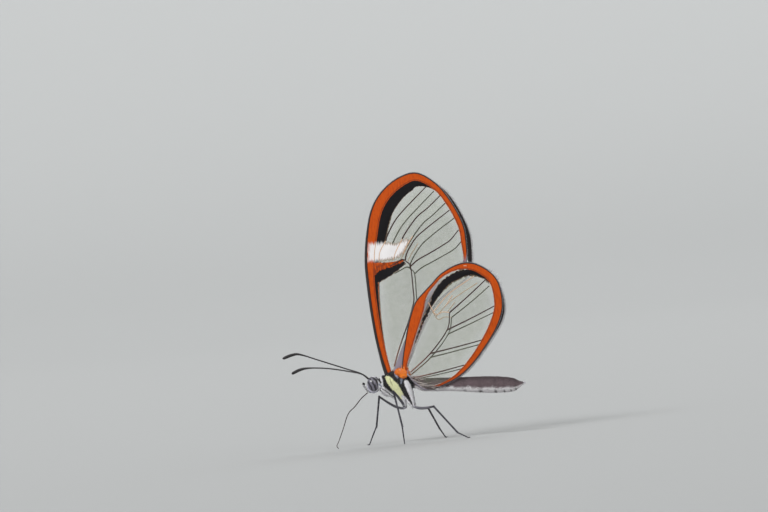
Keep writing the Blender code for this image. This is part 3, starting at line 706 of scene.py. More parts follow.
tuft = {
    "sink": 0.03,  # how deep the root stands in the surface
    "steps": ((0.0, 0.5, 0.0), (0.55, 0.42, 0.06)),  # shares along the tuft, of its width and of its arch
    "tip": 0.02,
    "ridge": 0.7,
    # painted light along each tuft, root to tip: painted shade near the root, where the tufts shade each
    # other, and a painted highlight along the ridge and at the tip
    "shades": (0.9, 0.9, 0.95, 1.0, 1.0, 1.05, 1.15),
    "patch": 0.003,  # its width on the flat map
}


def growTufts(name, roots, lie, normals, lengths, widths, tints, places, slot):
    # each tuft is a bent, tapered, three-sided blade: root + lie * length, arched over the surface
    lengths = (np.asarray(lengths) * mm)[:, None]
    widths = np.broadcast_to(np.asarray(widths, float) * mm, (len(roots),))[:, None]
    across = unit(np.cross(lie, normals))
    base = roots - normals * tuft["sink"] * mm
    rows = []
    for step, spread, arch in tuft["steps"]:
        centre = base + lie * lengths * step + normals * lengths * arch
        rows += [centre - across * widths * spread, centre + across * widths * spread,
                 centre + normals * widths * spread * tuft["ridge"]]
    rows.append(base + lie * lengths + normals * lengths * tuft["tip"])
    points = np.stack(rows, 1)
    start = (np.arange(len(roots)) * len(rows))[:, None, None]
    quads = (start + np.array([(0, 1, 4, 3), (1, 2, 5, 4), (2, 0, 3, 5)])).reshape(-1, 4)
    tris = (start + np.array([(3, 4, 6), (4, 5, 6), (5, 3, 6), (1, 0, 2)])).reshape(-1, 3)
    a, b, c = points[0, :3]
    if np.dot(np.cross(b - a, c - a), lie[0]) < 0:
        quads, tris = quads[:, ::-1], tris[:, ::-1]
    mesh = makeMesh(name, (points.reshape(-1, 3), quads, tris))
    # painted light: each tuft darker at its root and lighter along its ridge and at its tip
    shades = np.array(tuft["shades"])[None, :, None]
    setTint(mesh, np.minimum(np.asarray(tints)[:, None] * shades, 0.97).reshape(-1, 3))
    patch = np.array([(0, 0), (1, 0), (0.5, 0), (0, 0.55), (1, 0.55), (0.5, 0.55), (0.5, 1)]) * tuft["patch"]
    setMap(mesh, "OFBake", (places[:, None] + patch).reshape(-1, 2))
    addPiece(mesh, slot, (), hairFinish)


def growOnBody(name, root, lie, normal, *rest):
    # tufts placed on the upright body, leant with it
    lean = stance["lean"]
    growTufts(name, leanBody(root), turnX(lie, lean), turnX(normal, lean), *rest)


def growAlong(name, rows, spec, tintOf, slot):
    # tufts standing out all round a limb and lying toward its tip; rows are x, y, z and radius
    count = spec["hairs"]
    pick = random.integers(2, len(rows) - 1, count)
    angle = random.uniform(0, 2 * math.pi, count)
    along = unit(rows[pick + 1, :3] - rows[pick - 1, :3])
    across = unit(np.cross(along, (0, 1, 0)))
    normal = np.cos(angle)[:, None] * across + np.sin(angle)[:, None] * np.cross(across, along)
    root = rows[pick, :3] + normal * rows[pick, 3:4] * 0.95
    lie = unit(along + normal * random.uniform(*spec["hairLift"], (count, 1)))
    lengths = random.uniform(*spec["hairLength"], count)
    tint = tintOf(pick / len(rows), normal)
    places = np.stack([pick / 50, angle / 7], -1)
    growOnBody(name, root, lie, normal, lengths, spec["hairWidth"], tint, places, slot)


fringe = {
    "length": 0.2,
    "width": 0.06,
    "tuftLength": 0.75,
    "leftShare": 0.65,  # how long it is on each side
    "rightShare": 1.4,
    "leftShade": 0.4,  # how light, and how much lighter at the worn place
    "leftWorn": 0.95,
    "rightShade": 1.6,
    "rightWorn": 0.25,
    "brightest": 0.72,
    "between": (0.03, 0.97),  # shares of the way round the rim
    "shorter": (0.55, 0.42, 0.24),  # by how much, and between which shares it comes in
    "lengths": (0.7, 1.25),
    "shades": (0.55, 1.5),
    "astray": 0.18,
}


def makeFringe(label, spec, side):
    # short scale-hairs along the rim, pointing out in the wing's plane, longer about one worn place
    rim = smoothCurve(spec["outline"], 1500, closed=True)[:, :2]
    ahead = unit(np.roll(rim, -1, 0) - np.roll(rim, 1, 0))
    out = np.stack([-ahead[:, 1], ahead[:, 0]], -1)
    out *= np.sign(((rim - rim.mean(0)) * out).sum())
    way = np.arange(len(rim)) / len(rim)
    keep = (way > fringe["between"][0]) & (way < fringe["between"][1])
    rim, out, ahead, way = rim[keep], out[keep], ahead[keep], way[keep]
    tuftX, tuftUp, reach = spec["fringeTuft"]
    worn = softStep(np.hypot(rim[:, 0] - tuftX, rim[:, 1] - tuftUp), reach, 0.3 * reach)
    sideName = "left" if side < 0 else "right"
    shorter, *over = fringe["shorter"]
    lengths = fringe["length"] * (1 - shorter * softStep(way, *over))
    lengths *= random.uniform(*fringe["lengths"], len(rim))
    lengths *= fringe[sideName + "Share"]
    lengths += fringe["tuftLength"] * worn * random.uniform(0, 1, len(rim)) ** 2
    lieFlat = out + ahead * random.normal(0, fringe["astray"], len(rim))[:, None]
    ways = wingWays(spec, *rim.T, 0.0, side, *lieFlat.T)
    shade = fringe[sideName + "Shade"] + fringe[sideName + "Worn"] * worn
    tint = np.array(wingColours["fringe"]) * random.uniform(*fringe["shades"], (len(rim), 1)) * shade[:, None]
    tint = np.minimum(tint, fringe["brightest"])
    places = np.stack([way, np.full(len(way), 0.2)], -1)
    growTufts(label + "_fringe", *ways, lengths, fringe["width"], tint, places, "membrane")


print("wings")
for sideName, side in sides.items():
    for wing, spec in (("forewing", foreWing), ("hindwing", hindWing)):
        for make in (makeWingSheet, makeVeins, makeFringe):
            make(wing + "_" + sideName, spec, side)


# body

bodyForm = {
    "voxel": 0.075,
    "mesothorax": ((0.0, 0.0, 0.1), (1.95, 1.38, 1.85)),
    "metathorax": ((1.2, 0.0, -0.2), (1.05, 1.15, 1.45)),
    "prothorax": ((-2.0, 0.0, -0.05), (0.95, 0.9, 1.3)),
    "head": ((-3.6, 0.0, -0.03), (0.8, 0.74, 1.1)),
    "eyeRim": ((-3.54, 0.74, 0.08), (0.76, 1.06), 0.065),
    "eyeTilt": math.radians(12),
    # x, middle height, half height, half width
    "abdomen": [
        (1.9, -0.32, 0.50, 0.42), (2.6, -0.42, 0.64, 0.50), (3.5, -0.58, 0.90, 0.64),
        (4.7, -0.70, 0.95, 0.72), (7.6, -0.93, 0.96, 0.80), (10.5, -1.22, 1.08, 0.89),
        (13.0, -1.47, 1.17, 0.98), (15.0, -1.66, 1.13, 0.97), (16.3, -1.78, 1.00, 0.86),
        (16.95, -1.82, 0.80, 0.68), (17.45, -1.82, 0.50, 0.42), (17.95, -1.76, 0.25, 0.21),
        (18.15, -1.71, 0.12, 0.10),
    ],
    "ringPlaces": [2.0, 4.6, 7.2, 9.6, 11.9, 14.1, 15.35, 16.3, 16.95, 18.3],
    "ringDip": 0.02,
    # pleura and coxae: x, y, z, radius
    "midCoxa": [(-0.55, 0.85, 0.3, 0.62), (-0.1, 0.9, -0.7, 0.62), (0.25, 0.84, -1.8, 0.5),
                (0.58, 0.76, -2.8, 0.32), (0.76, 0.76, -3.5, 0.2)],
    "hindCoxa": [(1.35, 0.72, 0.0, 0.5), (1.45, 0.75, -0.8, 0.52), (1.7, 0.72, -1.9, 0.38),
                 (1.98, 0.72, -3.0, 0.24), (2.08, 0.72, -3.6, 0.18)],
    "hindCoxaFront": [(0.7, 0.6, -0.9, 0.45), (0.9, 0.6, -1.7, 0.42), (1.2, 0.63, -2.45, 0.28),
                      (1.53, 0.67, -3.1, 0.2), (1.88, 0.7, -3.68, 0.14)],
    "foreCoxa": [(-2.4, 0.45, -0.6, 0.4), (-2.1, 0.7, -1.2, 0.34), (-1.7, 0.8, -1.5, 0.26)],
    "neck": [(-3.4, 0, -0.1), (-2.9, 0, -0.05), (-2.4, 0, 0)],
    "neckRadius": 0.62,
    "foreWingRoot": ((-0.6, 0.95, 1.2), (0.6, 0.35, 0.4)),
    "hindWingRoot": ((0.5, 1.38, 1.42), (0.62, 0.3, 0.5)),
    "hindWingRootLow": ((1.1, 1.4, 1.15), (0.62, 0.32, 0.8)),
    "hindWingRootTop": ((1.2, 1.4, 1.9), (0.3, 0.28, 0.65)),
}

# markings seen from the side: colour, then x, up and brush radius along each stroke
bodyMarks = [
    ("white", [(-2.95, -0.9, 0.32), (-2.8, -0.2, 0.3), (-2.7, 0.5, 0.25)]),
    ("white", [(-2.69, 1.38, 0.2), (-2.4, 0.95, 0.22), (-2.3, 0.4, 0.26), (-2.35, -0.1, 0.32),
               (-2.65, -0.4, 0.3)]),
    # painted shade: a grey patch within the white collar
    ("grey", [(-2.62, 0.1, 0.1), (-2.35, -0.25, 0.14)]),
    ("black", [(-2.95, 1.2, 0.15), (-2.66, 0.75, 0.18), (-2.38, 0.3, 0.12)]),
    ("white", [(-2.1, -0.5, 0.22), (-1.63, -0.98, 0.22), (-1.27, -1.34, 0.16)]),
    ("white", [(-2.86, -0.93, 0.25), (-2.56, -1.21, 0.28), (-2.1, -1.6, 0.25)]),
    ("black", [(-2.47, -0.58, 0.17), (-1.96, -1.08, 0.12), (-1.42, -1.58, 0.08)]),
    ("cream", [(-1.45, 1.05, 0.30), (-1.02, 0.42, 0.50), (-0.34, -0.48, 0.62), (0.18, -1.38, 0.50),
               (0.56, -2.1, 0.34)]),
    ("white", [(0.66, -1.95, 0.2), (0.84, -2.6, 0.25), (0.93, -3.2, 0.2), (0.98, -3.5, 0.12)]),
    ("olive", [(-1.0, 0.75, 0.05), (-0.75, 0.1, 0.06), (-0.6, -0.4, 0.03)]),
    ("white", [(1.36, 0.05, 0.32), (1.55, -0.5, 0.42), (1.78, -1.38, 0.33), (1.98, -2.3, 0.22),
               (2.14, -3.36, 0.13)]),
    ("white", [(1.0, -2.15, 0.1), (1.25, -2.65, 0.15), (1.55, -3.15, 0.15), (1.85, -3.6, 0.13)]),
    ("grey", [(0.73, 0.5, 0.2), (0.62, -0.1, 0.1)]),
    ("grey", [(-0.1, 1.35, 0.2), (0.15, 0.85, 0.14)]),
    ("orange", [(0.4, 1.65, 0.62), (1.05, 1.4, 0.8), (1.25, 2.2, 0.55)]),
    ("wingSpot", [(0.68, 1.85, 0.12)]),
]
# how soft a marking's edge is, and how far out on the body it comes in, where these aren't as elsewhere
markEdges = {"orange": (-0.04, 0.06), "wingSpot": (-0.12, 0.10)}
markOut = {"cream": (0.25, 0.5), "olive": (0.25, 0.5), "orange": (0.9, 1.1), "wingSpot": (1.2, 1.4)}
# patches: colour, strength, and the places between which each comes in
bodyPatches = [
    ("throat", 1.0, [("z", -1.1, -1.5), ("x", -3.0, -2.6), ("x", -0.6, -1.2)]),
    ("grey", 0.8, [("z", 1.5, 1.8), ("out", 0.2, 0.1), ("x", -3.0, -2.0), ("x", 2.4, 2.39)]),
]
bodyColours = {
    "black": (0.006, 0.005, 0.008),
    "white": (0.95, 0.93, 0.97),
    "cream": (0.95, 0.96, 0.58),
    "olive": (0.42, 0.42, 0.20),
    "grey": (0.28, 0.31, 0.40),
    "orange": (0.98, 0.23, 0.008),
    "pale": (0.95, 0.91, 0.93),
    "brown": (0.120, 0.082, 0.092),
    "face": (0.80, 0.78, 0.90),
    "crown": (0.012, 0.010, 0.016),
    "throat": (0.76, 0.744, 0.776),
    "wingSpot": (0.85, 0.42, 0.22),
}
abdomenLook = {
    "grain": (5, 3),  # how much the grain counts in the back's shade and in its lower line
    "waves": [(0.05, 2.3, 0), (0.04, 5.3, 1)],  # of that line: amount, beat, start
    "line": (-0.56, -0.40),
    "back": (1.3, 0.6, 0.1, 0.9),  # shade below, how much darker on top, and between which levels
    "ringEnds": (1.08, 0.25, 6),  # shade in the middle of a ring, how much darker at its ends, and how close
    "notch": (0.62, 0.95),
    "notchFrom": (8.0, 11.5),
    "under": (0.15, 0.7, 0.55, 0.95),  # painted shade under the body: how much darker the underside is, and its notches, and from where
}
tintLimits = {
    "grain": 0.035,
    "abdomen": (2.2, 2.6),  # where its colours come in along x, and where the face's do
    "face": (-2.95, -3.15),
    "faceMiddle": (0.25, 0.8),
    "crownUp": (0.75, 1.0),
    "crownOut": (0.45, 0.2),
}


def ringPhase(x):
    # the place within its ring of the abdomen, 0 to 1
    places = bodyForm["ringPlaces"]
    return np.interp(x, places, np.arange(len(places))) % 1


def abdomenTint(x, z, jitter):
    # brown above and pale below a ragged line; painted shade darkens the lowest part of the underside, with
    # darker notches where the rings meet
    ends, middles, halves = np.array(bodyForm["abdomen"])[:, :3].T
    level = (z - np.interp(x, ends, middles)) / np.interp(x, ends, halves)
    ring = np.abs(ringPhase(x) - 0.5) * 2
    look = abdomenLook
    wave = sum(amount * np.sin(x * beat + start) for amount, beat, start in look["waves"])
    grainInShade, grainInLine = look["grain"]
    middle, darker, power = look["ringEnds"]
    below, less, *over = look["back"]
    shade = (middle - darker * ring ** power) * (below - less * softStep(level, *over))
    shade = shade * (1 + grainInShade * jitter)
    notch = softStep(ring, *look["notch"]) * softStep(x, *look["notchFrom"])
    # painted shade: the underside darker toward its lowest part, more in notches where the rings meet
    under, inNotch, *over = look["under"]
    paleShade = 1 - softStep(-level, *over) * (under + inNotch * notch)
    belly = np.multiply.outer(paleShade, bodyColours["pale"])
    back = np.multiply.outer(shade, bodyColours["brown"])
    return mixed(belly, back, softStep(level + jitter * grainInLine + wave, *look["line"]))


def bodyTint(points):
    # colour of the coat at each place of the upright body: strokes, patches, then the abdomen and the head
    x, y, z = points.T
    out = np.abs(y)
    seen = z + out * math.tan(stance["lean"])
    place = {"x": x, "z": z, "out": out}
    tint = np.tile(bodyColours["black"], (len(x), 1))
    jitter = random.normal(0, tintLimits["grain"], len(x))
    for colour, stroke in bodyMarks:
        share = softStep(strokeDepth(x, seen, stroke) + jitter, *markEdges.get(colour, (-0.03, 0.05)))
        share = share * softStep(out, *markOut.get(colour, (-2.0, -1.0)))
        tint = mixed(tint, bodyColours[colour], share)
    for colour, strength, limits in bodyPatches:
        share = strength * np.prod([softStep(place[axis], *over) for axis, *over in limits], 0)
        tint = mixed(tint, bodyColours[colour], share)
    tint = mixed(tint, abdomenTint(x, z, jitter), softStep(x, *tintLimits["abdomen"]))
    half, darker = tintLimits["faceMiddle"]
    face = np.multiply.outer(np.where(out < half, darker, 1.0), bodyColours["face"])
    crown = softStep(z, *tintLimits["crownUp"]) * softStep(out, *tintLimits["crownOut"])
    face = mixed(face, bodyColours["crown"], crown)
    return mixed(tint, face, softStep(x, *tintLimits["face"]))


def abdomenParts():
    # a spindle: rows of half height and half width carried along x, dipped a little at each ring
    rows = smoothCurve(bodyForm["abdomen"], 170)
    phase = ringPhase(rows[:, 0])
    dip = 1 - bodyForm["ringDip"] * (softStep(phase, 0.86, 1.0) + softStep(0.1 - phase, 0.0, 0.1))
    angle = np.linspace(0, 2 * math.pi, 44, endpoint=False)
    y = (rows[:, 3] * dip)[:, None] * np.cos(angle)
    z = rows[:, 1, None] + (rows[:, 2] * dip)[:, None] * np.sin(angle)
    return tubeParts(np.stack([rows[:, :1] + 0 * angle, y, z], -1))


def limbRoot(rows, side):
    # a round section carried down the rows, left or right
    rows = smoothCurve(np.array(rows) * (1, side, 1, 1), 20)
    return carryProfile(rows[:, :3], rows[:, 3], 20, (1, 0, 0.2))


def meshPoints(mesh):
    points = np.zeros(len(mesh.vertices) * 3)
    mesh.vertices.foreach_get("co", points)
    return points.reshape(-1, 3)


def makeSkin():
    # ellipsoids, limb roots and the spindle of the abdomen, grown into one skin and smoothed
    parts = [roundForm(*bodyForm[key]) for key in ("mesothorax", "metathorax", "prothorax", "head")]
    parts.append(abdomenParts())
    parts.append(carryProfile(smoothCurve(bodyForm["neck"], 8), bodyForm["neckRadius"], 20))
    for side in sides.values():
        for key in ("midCoxa", "hindCoxa", "hindCoxaFront", "foreCoxa"):
            parts.append(limbRoot(bodyForm[key], side))
        for key in ("foreWingRoot", "hindWingRoot", "hindWingRootLow", "hindWingRootTop"):
            (x, y, z), radii = bodyForm[key]
            parts.append(roundForm((x, y * side, z), radii))
        (x, y, z), radii, thickness = bodyForm["eyeRim"]
        parts.append(ringForm((x, y * side, z), radii, thickness, bodyForm["eyeTilt"]))
    points, quads, tris = joinParts(parts)
    piece = addPiece(makeMesh("body_skin", (leanBody(points), quads, tris)), "body", ())
    remesh = piece.modifiers.new("one skin", "REMESH")
    remesh.mode = "VOXEL"
    remesh.voxel_size = bodyForm["voxel"] * mm
    remesh.use_smooth_shade = True
    smooth = piece.modifiers.new("settle", "SMOOTH")
    smooth.factor = 0.5
    smooth.iterations = 7
    graph = bpy.context.evaluated_depsgraph_get()
    mesh = bpy.data.meshes.new_from_object(piece.evaluated_get(graph))
    piece.modifiers.clear()
    piece.data = mesh
    setTint(mesh, bodyTint(unleanBody(meshPoints(mesh))))
    mesh.materials.clear()
    mesh.materials.append(tintMaterial("bodySkin", 0.7, sheen=0.1))
    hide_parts("thorax", "head", "abdomen")
    return mesh


print("body")
skin = makeSkin()


# coat

coat = {
    "head": {"count": 6000, "length": 0.19, "width": 0.06, "lift": 0.28, "flow": (-0.25, 0, -0.3)},
    "thorax": {"count": 19900, "length": 0.26, "width": 0.075, "lift": 0.16, "flow": (0.45, 0, -0.9)},
    "abdomen": {"count": 19900, "length": 0.27, "width": 0.07, "lift": 0.19, "flow": (1.0, 0, -0.12)},
}
# how far each tuft may depart from these, as shares, and how far its way may stray
coatSpread = {
    "lift": (0.4, 1.5), "length": (0.6, 1.2), "width": (0.7, 1.2), "tint": (0.85, 1.12), "astray": 0.16,
}
coatEnds = (-2.95, 2.35)  # where the head's coat ends and the abdomen's begins
# no coat in the eyes: middle and radii in x and z, and how far out they start
eyeGap = {"middle": (-3.54, 0.08), "radii": (0.78, 1.12), "out": 0.55}
pencil = {
    "place": (17.75, 0.0, -1.83),
    "way": (1.0, 0.0, 0.32),
    "length": (0.35, 0.9),
    "width": 0.05,
    "count": 110,
    "radius": (0.02, 0.12),  # how far from its middle the hairs stand
    "spread": 0.12,
    "astray": 0.05,
    "shades": (0.7, 1.0),
}


def coatRegion(middles):
    # 0 on the head, 1 on the thorax, 2 on the abdomen, -1 in the eyes, where nothing grows
    x, y = middles.T[:2]
    gap = (middles[:, [0, 2]] - eyeGap["middle"]) / eyeGap["radii"]
    inEye = (np.hypot(*gap.T) < 1) & (np.abs(y) > eyeGap["out"])
    return np.where(inEye, -1, np.searchsorted(coatEnds, x, "right"))


def coatFlow(label, root):
    # which way the tufts lie: outward on the face, back over the thorax and up its wing roots
    flow = coat[label]["flow"] + 0 * root
    if label == "head":
        flow = flow + (root - (-3.3, 0, 0)) * (0.5, 0, 0.6)
    if label == "thorax":
        flow[root[:, 2] > 1.2] = (1, 0, 0.05)
        flow[(np.abs(root[:, 1]) > 0.9) & (root[:, 2] > 0.85)] = (0.25, 0, 1)
    return flow + random.normal(0, coatSpread["astray"], root.shape)


def growCoat():
    # roots drawn evenly over the skin's triangles; each tuft lies along the body's flow, lifted a little
    corner = np.zeros(len(skin.loop_triangles) * 3, np.int32)
    skin.loop_triangles.foreach_get("vertices", corner)
    triangles = unleanBody(meshPoints(skin))[corner.reshape(-1, 3)]
    cross = np.cross(triangles[:, 1] - triangles[:, 0], triangles[:, 2] - triangles[:, 0])
    area = np.linalg.norm(cross, axis=1)
    normals = cross / np.maximum(area, 1e-9)[:, None]
    regions = coatRegion(triangles.mean(1))
    for number, (label, settings) in enumerate(coat.items()):
        weight = area * (regions == number)
        pick = random.choice(len(area), settings["count"], p=weight / weight.sum())
        a, b = random.random((2, settings["count"], 1))
        a, b = np.where(a + b > 1, (1 - a, 1 - b), (a, b))
        first, second, third = triangles[pick].swapaxes(0, 1)
        root = first + a * (second - first) + b * (third - first)
        normal = normals[pick]
        flow = coatFlow(label, root)
        flow = unit(flow - normal * (flow * normal).sum(1, keepdims=True))
        lie = unit(flow + normal * settings["lift"] * random.uniform(*coatSpread["lift"], (len(root), 1)))
        length = settings["length"] * random.uniform(*coatSpread["length"], len(root))
        tint = bodyTint(root + lie * length[:, None] * 0.4)
        tint = tint * random.uniform(*coatSpread["tint"], (len(root), 1))
        angle = np.arctan2(root[:, 1], root[:, 2]) / (2 * math.pi) + 0.5
        places = np.stack([(root[:, 0] + 5) / 24, angle], -1) * 0.98
        width = settings["width"] * random.uniform(*coatSpread["width"], len(root))
        growOnBody("coat_" + label, root, lie, normal, length, width, tint, places, "body")


def growPencil():
    # a brush of long white hairs at the end of the abdomen
    count = pencil["count"]
    angle = random.uniform(0, 2 * math.pi, count)
    normal = unit(np.stack([0.2 + 0 * angle, np.cos(angle), np.sin(angle)], -1))
    root = pencil["place"] + normal * random.uniform(*pencil["radius"], (count, 1)) * (1, 1, 1.4)
    astray = random.normal(0, pencil["astray"], (count, 3))
    lie = unit(pencil["way"] + normal * pencil["spread"] + astray)
    tint = np.array(bodyColours["white"]) * random.uniform(*pencil["shades"], (count, 1))
    places = np.stack([0.97 + 0 * angle, angle / 7], -1)
    lengths = random.uniform(*pencil["length"], count)
    growOnBody("coat_pencil", root, lie, normal, lengths, pencil["width"], tint, places, "body")


growCoat()
growPencil()


# head

eyeForm = {
    "centre": (-3.54, 0.70, 0.08),
    "radii": (0.78, 0.58, 1.08),
    "band": (0.83, 0.42, 0.18),  # how the bands count along x, up z and with its square
    "pale": (0.17, 0.16, 0.20),
    "dark": (0.012, 0.010, 0.016),
    "bands": 12.5,
    "wobble": 4.5,
    "bandEdge": (-0.6, 0.9),
}


def eyeMaterial():
    # slanting dark bands on a grey ball under a clear gloss
    finish = {"Roughness": 0.28, "Coat Weight": 0.6, "Coat Roughness": 0.08}
    material, tree, shader = newMaterial("eyeGloss", finish)
    band = numberNode(tree, "band")
    wobble = (noiseNode(objectPlace(tree), 2200, 3) - 0.5) * eyeForm["wobble"]
    wave = mathNode("SINE", band * eyeForm["bands"] + wobble)
    dark = stepNode(wave + band * 0.5, *eyeForm["bandEdge"])
    feed(shader.inputs["Base Color"], blend(dark, eyeForm["pale"], eyeForm["dark"]))
    facets = addNode(tree, "TexVoronoi", "Distance", {"Vector": objectPlace(tree), "Scale": 16000})
    bumpNode(shader, facets, 0.35, 0.00002)
    return material


print("head")
eyeFinish = eyeMaterial()
for sideName, side in sides.items():
    centre = np.array(eyeForm["centre"]) * (1, side, 1)
    points, quads, tris = roundForm(centre, eyeForm["radii"], -bodyForm["eyeTilt"], 64, 40)
    mesh = makeMesh("eye_" + sideName + "_ball", (leanBody(points), quads, tris))
    x, y, z = (points - centre).T
    alongX, alongZ, bend = eyeForm["band"]
    setNumber(mesh, "band", x * alongX + z * alongZ + z ** 2 * bend)
    addPiece(mesh, "eye", ["eye_" + sideName], eyeFinish)


# antennae, palps and tongue

antenna = {
    "root": (-4.1, 0.4, 0.86),
    "left": [(-5.1, -0.7, 1.83), (-7.2, -1.6, 2.8), (-10.4, -3.0, 4.25), (-13.1, -4.2, 5.45),
             (-14.2, -4.7, 5.5), (-15.6, -5.1, 5.1)],
    "right": [(-5.2, 0.7, 1.7), (-7.5, 1.5, 2.35), (-10.4, 2.7, 2.95), (-13.1, 3.7, 3.22), (-14.6, 4.3, 3.1),
              (-16.0, 4.8, 2.6)],
    "rootRadius": 0.14,
    "shaftRadius": 0.10,
    "clubRadius": 0.23,
    "rootTaper": (0.12, 0),  # shares of its length: the root's taper, the club's swell, and where it narrows
    "clubSwell": (0.70, 0.93),
    "clubNarrows": (0.95, 1.0),
    "narrower": 0.25,
    "tip": 0.018,
    "rings": 46,
    "ringDip": 0.10,
    "colour": (0.012, 0.009, 0.010),
}
palp = {
    "line": [(-4.1, 0.42, -0.98, 0.09), (-4.5, 0.5, -0.72, 0.10), (-4.82, 0.52, -0.25, 0.08),
             (-5.0, 0.5, 0.05, 0.07), (-4.96, 0.5, 0.32, 0.03)],
    "tint": (0.14, 0.155, 0.20),
    "dark": (0.72, 0.9),  # shares of the way along where it turns black
    "hairs": 420,
    "hairLength": (0.14, 0.32),
    "hairWidth": 0.05,
    "hairLift": (0.1, 0.7),  # how far they stand off the stalk
}
tongue = {
    "root": (-4.5, 0.0, -1.0),
    "line": [(-5.5, -0.2, 6.98), (-6.55, -0.15, 5.9), (-7.65, -0.1, 4.9), (-8.6, 0.0, 2.8), (-9.4, 0.0, 1.1),
             (-9.72, 0.0, 0.5), (-9.5, 0.0, 0.08)],
    "radius": 0.085,
    "tipRadius": 0.05,
    "colour": (0.05, 0.032, 0.030),
}
hornFinish = tintMaterial("darkHorn", 0.38, coat=0.15, grain=0.3)


def addHorn(name, parts, spec, node):
    mesh = makeMesh(name, parts)
    setTint(mesh, np.tile(spec["colour"], (len(mesh.vertices), 1)))
    addPiece(mesh, "horn", [node], hornFinish)


def makeAntenna(sideName, side):
    # a ringed shaft that swells to a long club and closes to a blunt tip
    place = stance["thoraxPlace"]
    root = leanBody(np.array(antenna["root"]) * (1, side, 1)) / mm - place
    path = smoothCurve([root, *antenna[sideName]], 280)
    way = np.linspace(0, 1, len(path))
    shaft = antenna["shaftRadius"]
    radii = shaft + (antenna["rootRadius"] - shaft) * softStep(way, *antenna["rootTaper"])
    club = softStep(way, *antenna["clubSwell"])
    club = club * (1 - antenna["narrower"] * softStep(way, *antenna["clubNarrows"]))
    radii += (antenna["clubRadius"] - shaft) * club
    radii *= 1 - antenna["ringDip"] * (np.abs((way * antenna["rings"]) % 1 - 0.5) > 0.4)
    radii *= np.sqrt(np.clip((1 - way) / antenna["tip"], 0.04, 1))
    addHorn("antenna_" + sideName + "_shaft", carryProfile((path + place) * mm, radii * mm, 14), antenna,
            "antenna_" + sideName)


def makeTongue():
    # a tapered tube from under the head down to the ground
    root = leanBody(tongue["root"]) / mm - np.array(stance["thoraxPlace"]) * (1, 1, 0)
    path = smoothCurve([root, *tongue["line"]], 160)
    radii = np.linspace(tongue["radius"], tongue["tipRadius"], len(path))
    radii[-1] *= 0.5
    addHorn("proboscis_tube", carryProfile(overGround(path), radii * mm, 12), tongue, "proboscis")


def makeHairyLimb(node, piece, spec, side, slot, blackShare, hairTint):
    # a tapered stalk carried along its line, black where the share says so, with tufts all round it
    rows = smoothCurve(np.array(spec["line"]) * (1, side, 1, 1), 40)
    parts = carryProfile(leanBody(rows[:, :3]), rows[:, 3] * mm, 14)
    mesh = makeMesh(node + piece, parts)
    setTint(mesh, mixed(spec["tint"], bodyColours["black"], blackShare(rows, unleanBody(parts[0]))))
    addPiece(mesh, slot, [node], hairFinish)
    growAlong(node + "_hair", rows, spec, hairTint, slot)


def palpBlack(rows, place):
    # black toward the tip, by the share of the way up the stalk
    way = np.interp(place[:, 2], rows[:, 2], np.linspace(0, 1, len(rows)))
    return softStep(way, *palp["dark"])


def palpHairTint(way, normal):
    white = (random.random(len(way)) > 0.35) & (way < 0.8)
    return np.where(white[:, None], bodyColours["white"], bodyColours["black"])


for sideName, side in sides.items():
    makeAntenna(sideName, side)
    makeHairyLimb("palp_" + sideName, "_stalk", palp, side, "horn", palpBlack, palpHairTint)
makeTongue()


# legs

legs = {
    "midleg_left": [(0.76, -0.76, -3.5), (-0.27, -3.6, 7.65), (0.55, -4.0, 2.75), (0.66, -4.0, 0.12)],
    "midleg_right": [(0.76, 0.76, -3.5), (-3.32, 2.9, 6.94), (-4.4, 4.9, 2.68), (-5.79, 5.6, 0.12)],
    "hindleg_left": [(2.08, -0.72, -3.6), (5.27, -3.2, 4.95), (8.41, -3.8, 0.95), (9.83, -3.9, 0.12)],
    "hindleg_right": [(2.08, 0.72, -3.6), (3.44, 4.2, 4.6), (4.43, 6.8, 1.45), (5.07, 7.6, 0.12)],
}
legForm = {
    "femur": (0.17, 0.2, 0.15),  # radius at the hip, the swell and the knee
    "femurTone": {"midleg": 0.12, "hindleg": 0.3},
    "shin": (0.15, 0.13, 0.14),
    "femurSag": {"midleg_left": 0.12, "midleg_right": -0.55, "hindleg_left": -0.28, "hindleg_right": -0.15},
    "tarsus": (0.12, 0.08),
    "tarsusJoints": 5,
    "toe": 0.42,
    "spur": (0.42, 0.035),
    "spines": 26,
    "spine": (0.26, 0.022),
    "spineBend": (0.3, 1, 0.2),
    "claw": (0.18, 0.035),
    "colour": (0.020, 0.018, 0.028),
    "hip": (0.42, 0.41, 0.46),
    "over": (0.3, 0.9, 0.25),  # the way that starts a section
    "swellAt": (0.35, 0.5),  # shares of the femur and of the shin
    "sagLean": 0.7,
    "splay": 0.8,
    "jointDip": (0.28, 6),
    "spurWay": (0.8, 0.35, 0.4),  # how much of it goes down the shin, back and across
    "clawWay": (0.8, 0.5, 0.25),  # onward, apart and down
    "spineWay": (0.85, 0.5),  # down the shin and out round it
    "spinesBetween": (0.08, 0.94),
    "spineTurn": 40,
    "toneEnds": (0.95, 0.7),
    "glintSpecks": (0.35, 0.85),  # painted glints of the scales: how pale, and the share of points without them
    "hipEnds": (0.7, 0.15),
}
foreLeg = {
    "line": [(-2.35, 1.0, -0.75, 0.15), (-1.95, 1.15, -1.15, 0.15), (-1.4, 1.15, -1.62, 0.12),
             (-0.95, 1.0, -1.95, 0.07)],
    "tint": bodyColours["white"],
    "dark": (0.02, 0.08),  # how far over its middle it turns black
    "hairs": 1000,
    "hairLength": (0.12, 0.34),
    "hairWidth": 0.05,
    "hairLift": (0.1, 0.7),
}
legFinish = tintMaterial("legHorn", 0.42, coat=0.1, grain=0.5)


def limbTube(path, radii, segments):
    # a round section carried along the path, both in millimetres of the scene
    return carryProfile(path * mm, radii * mm, segments, legForm["over"])


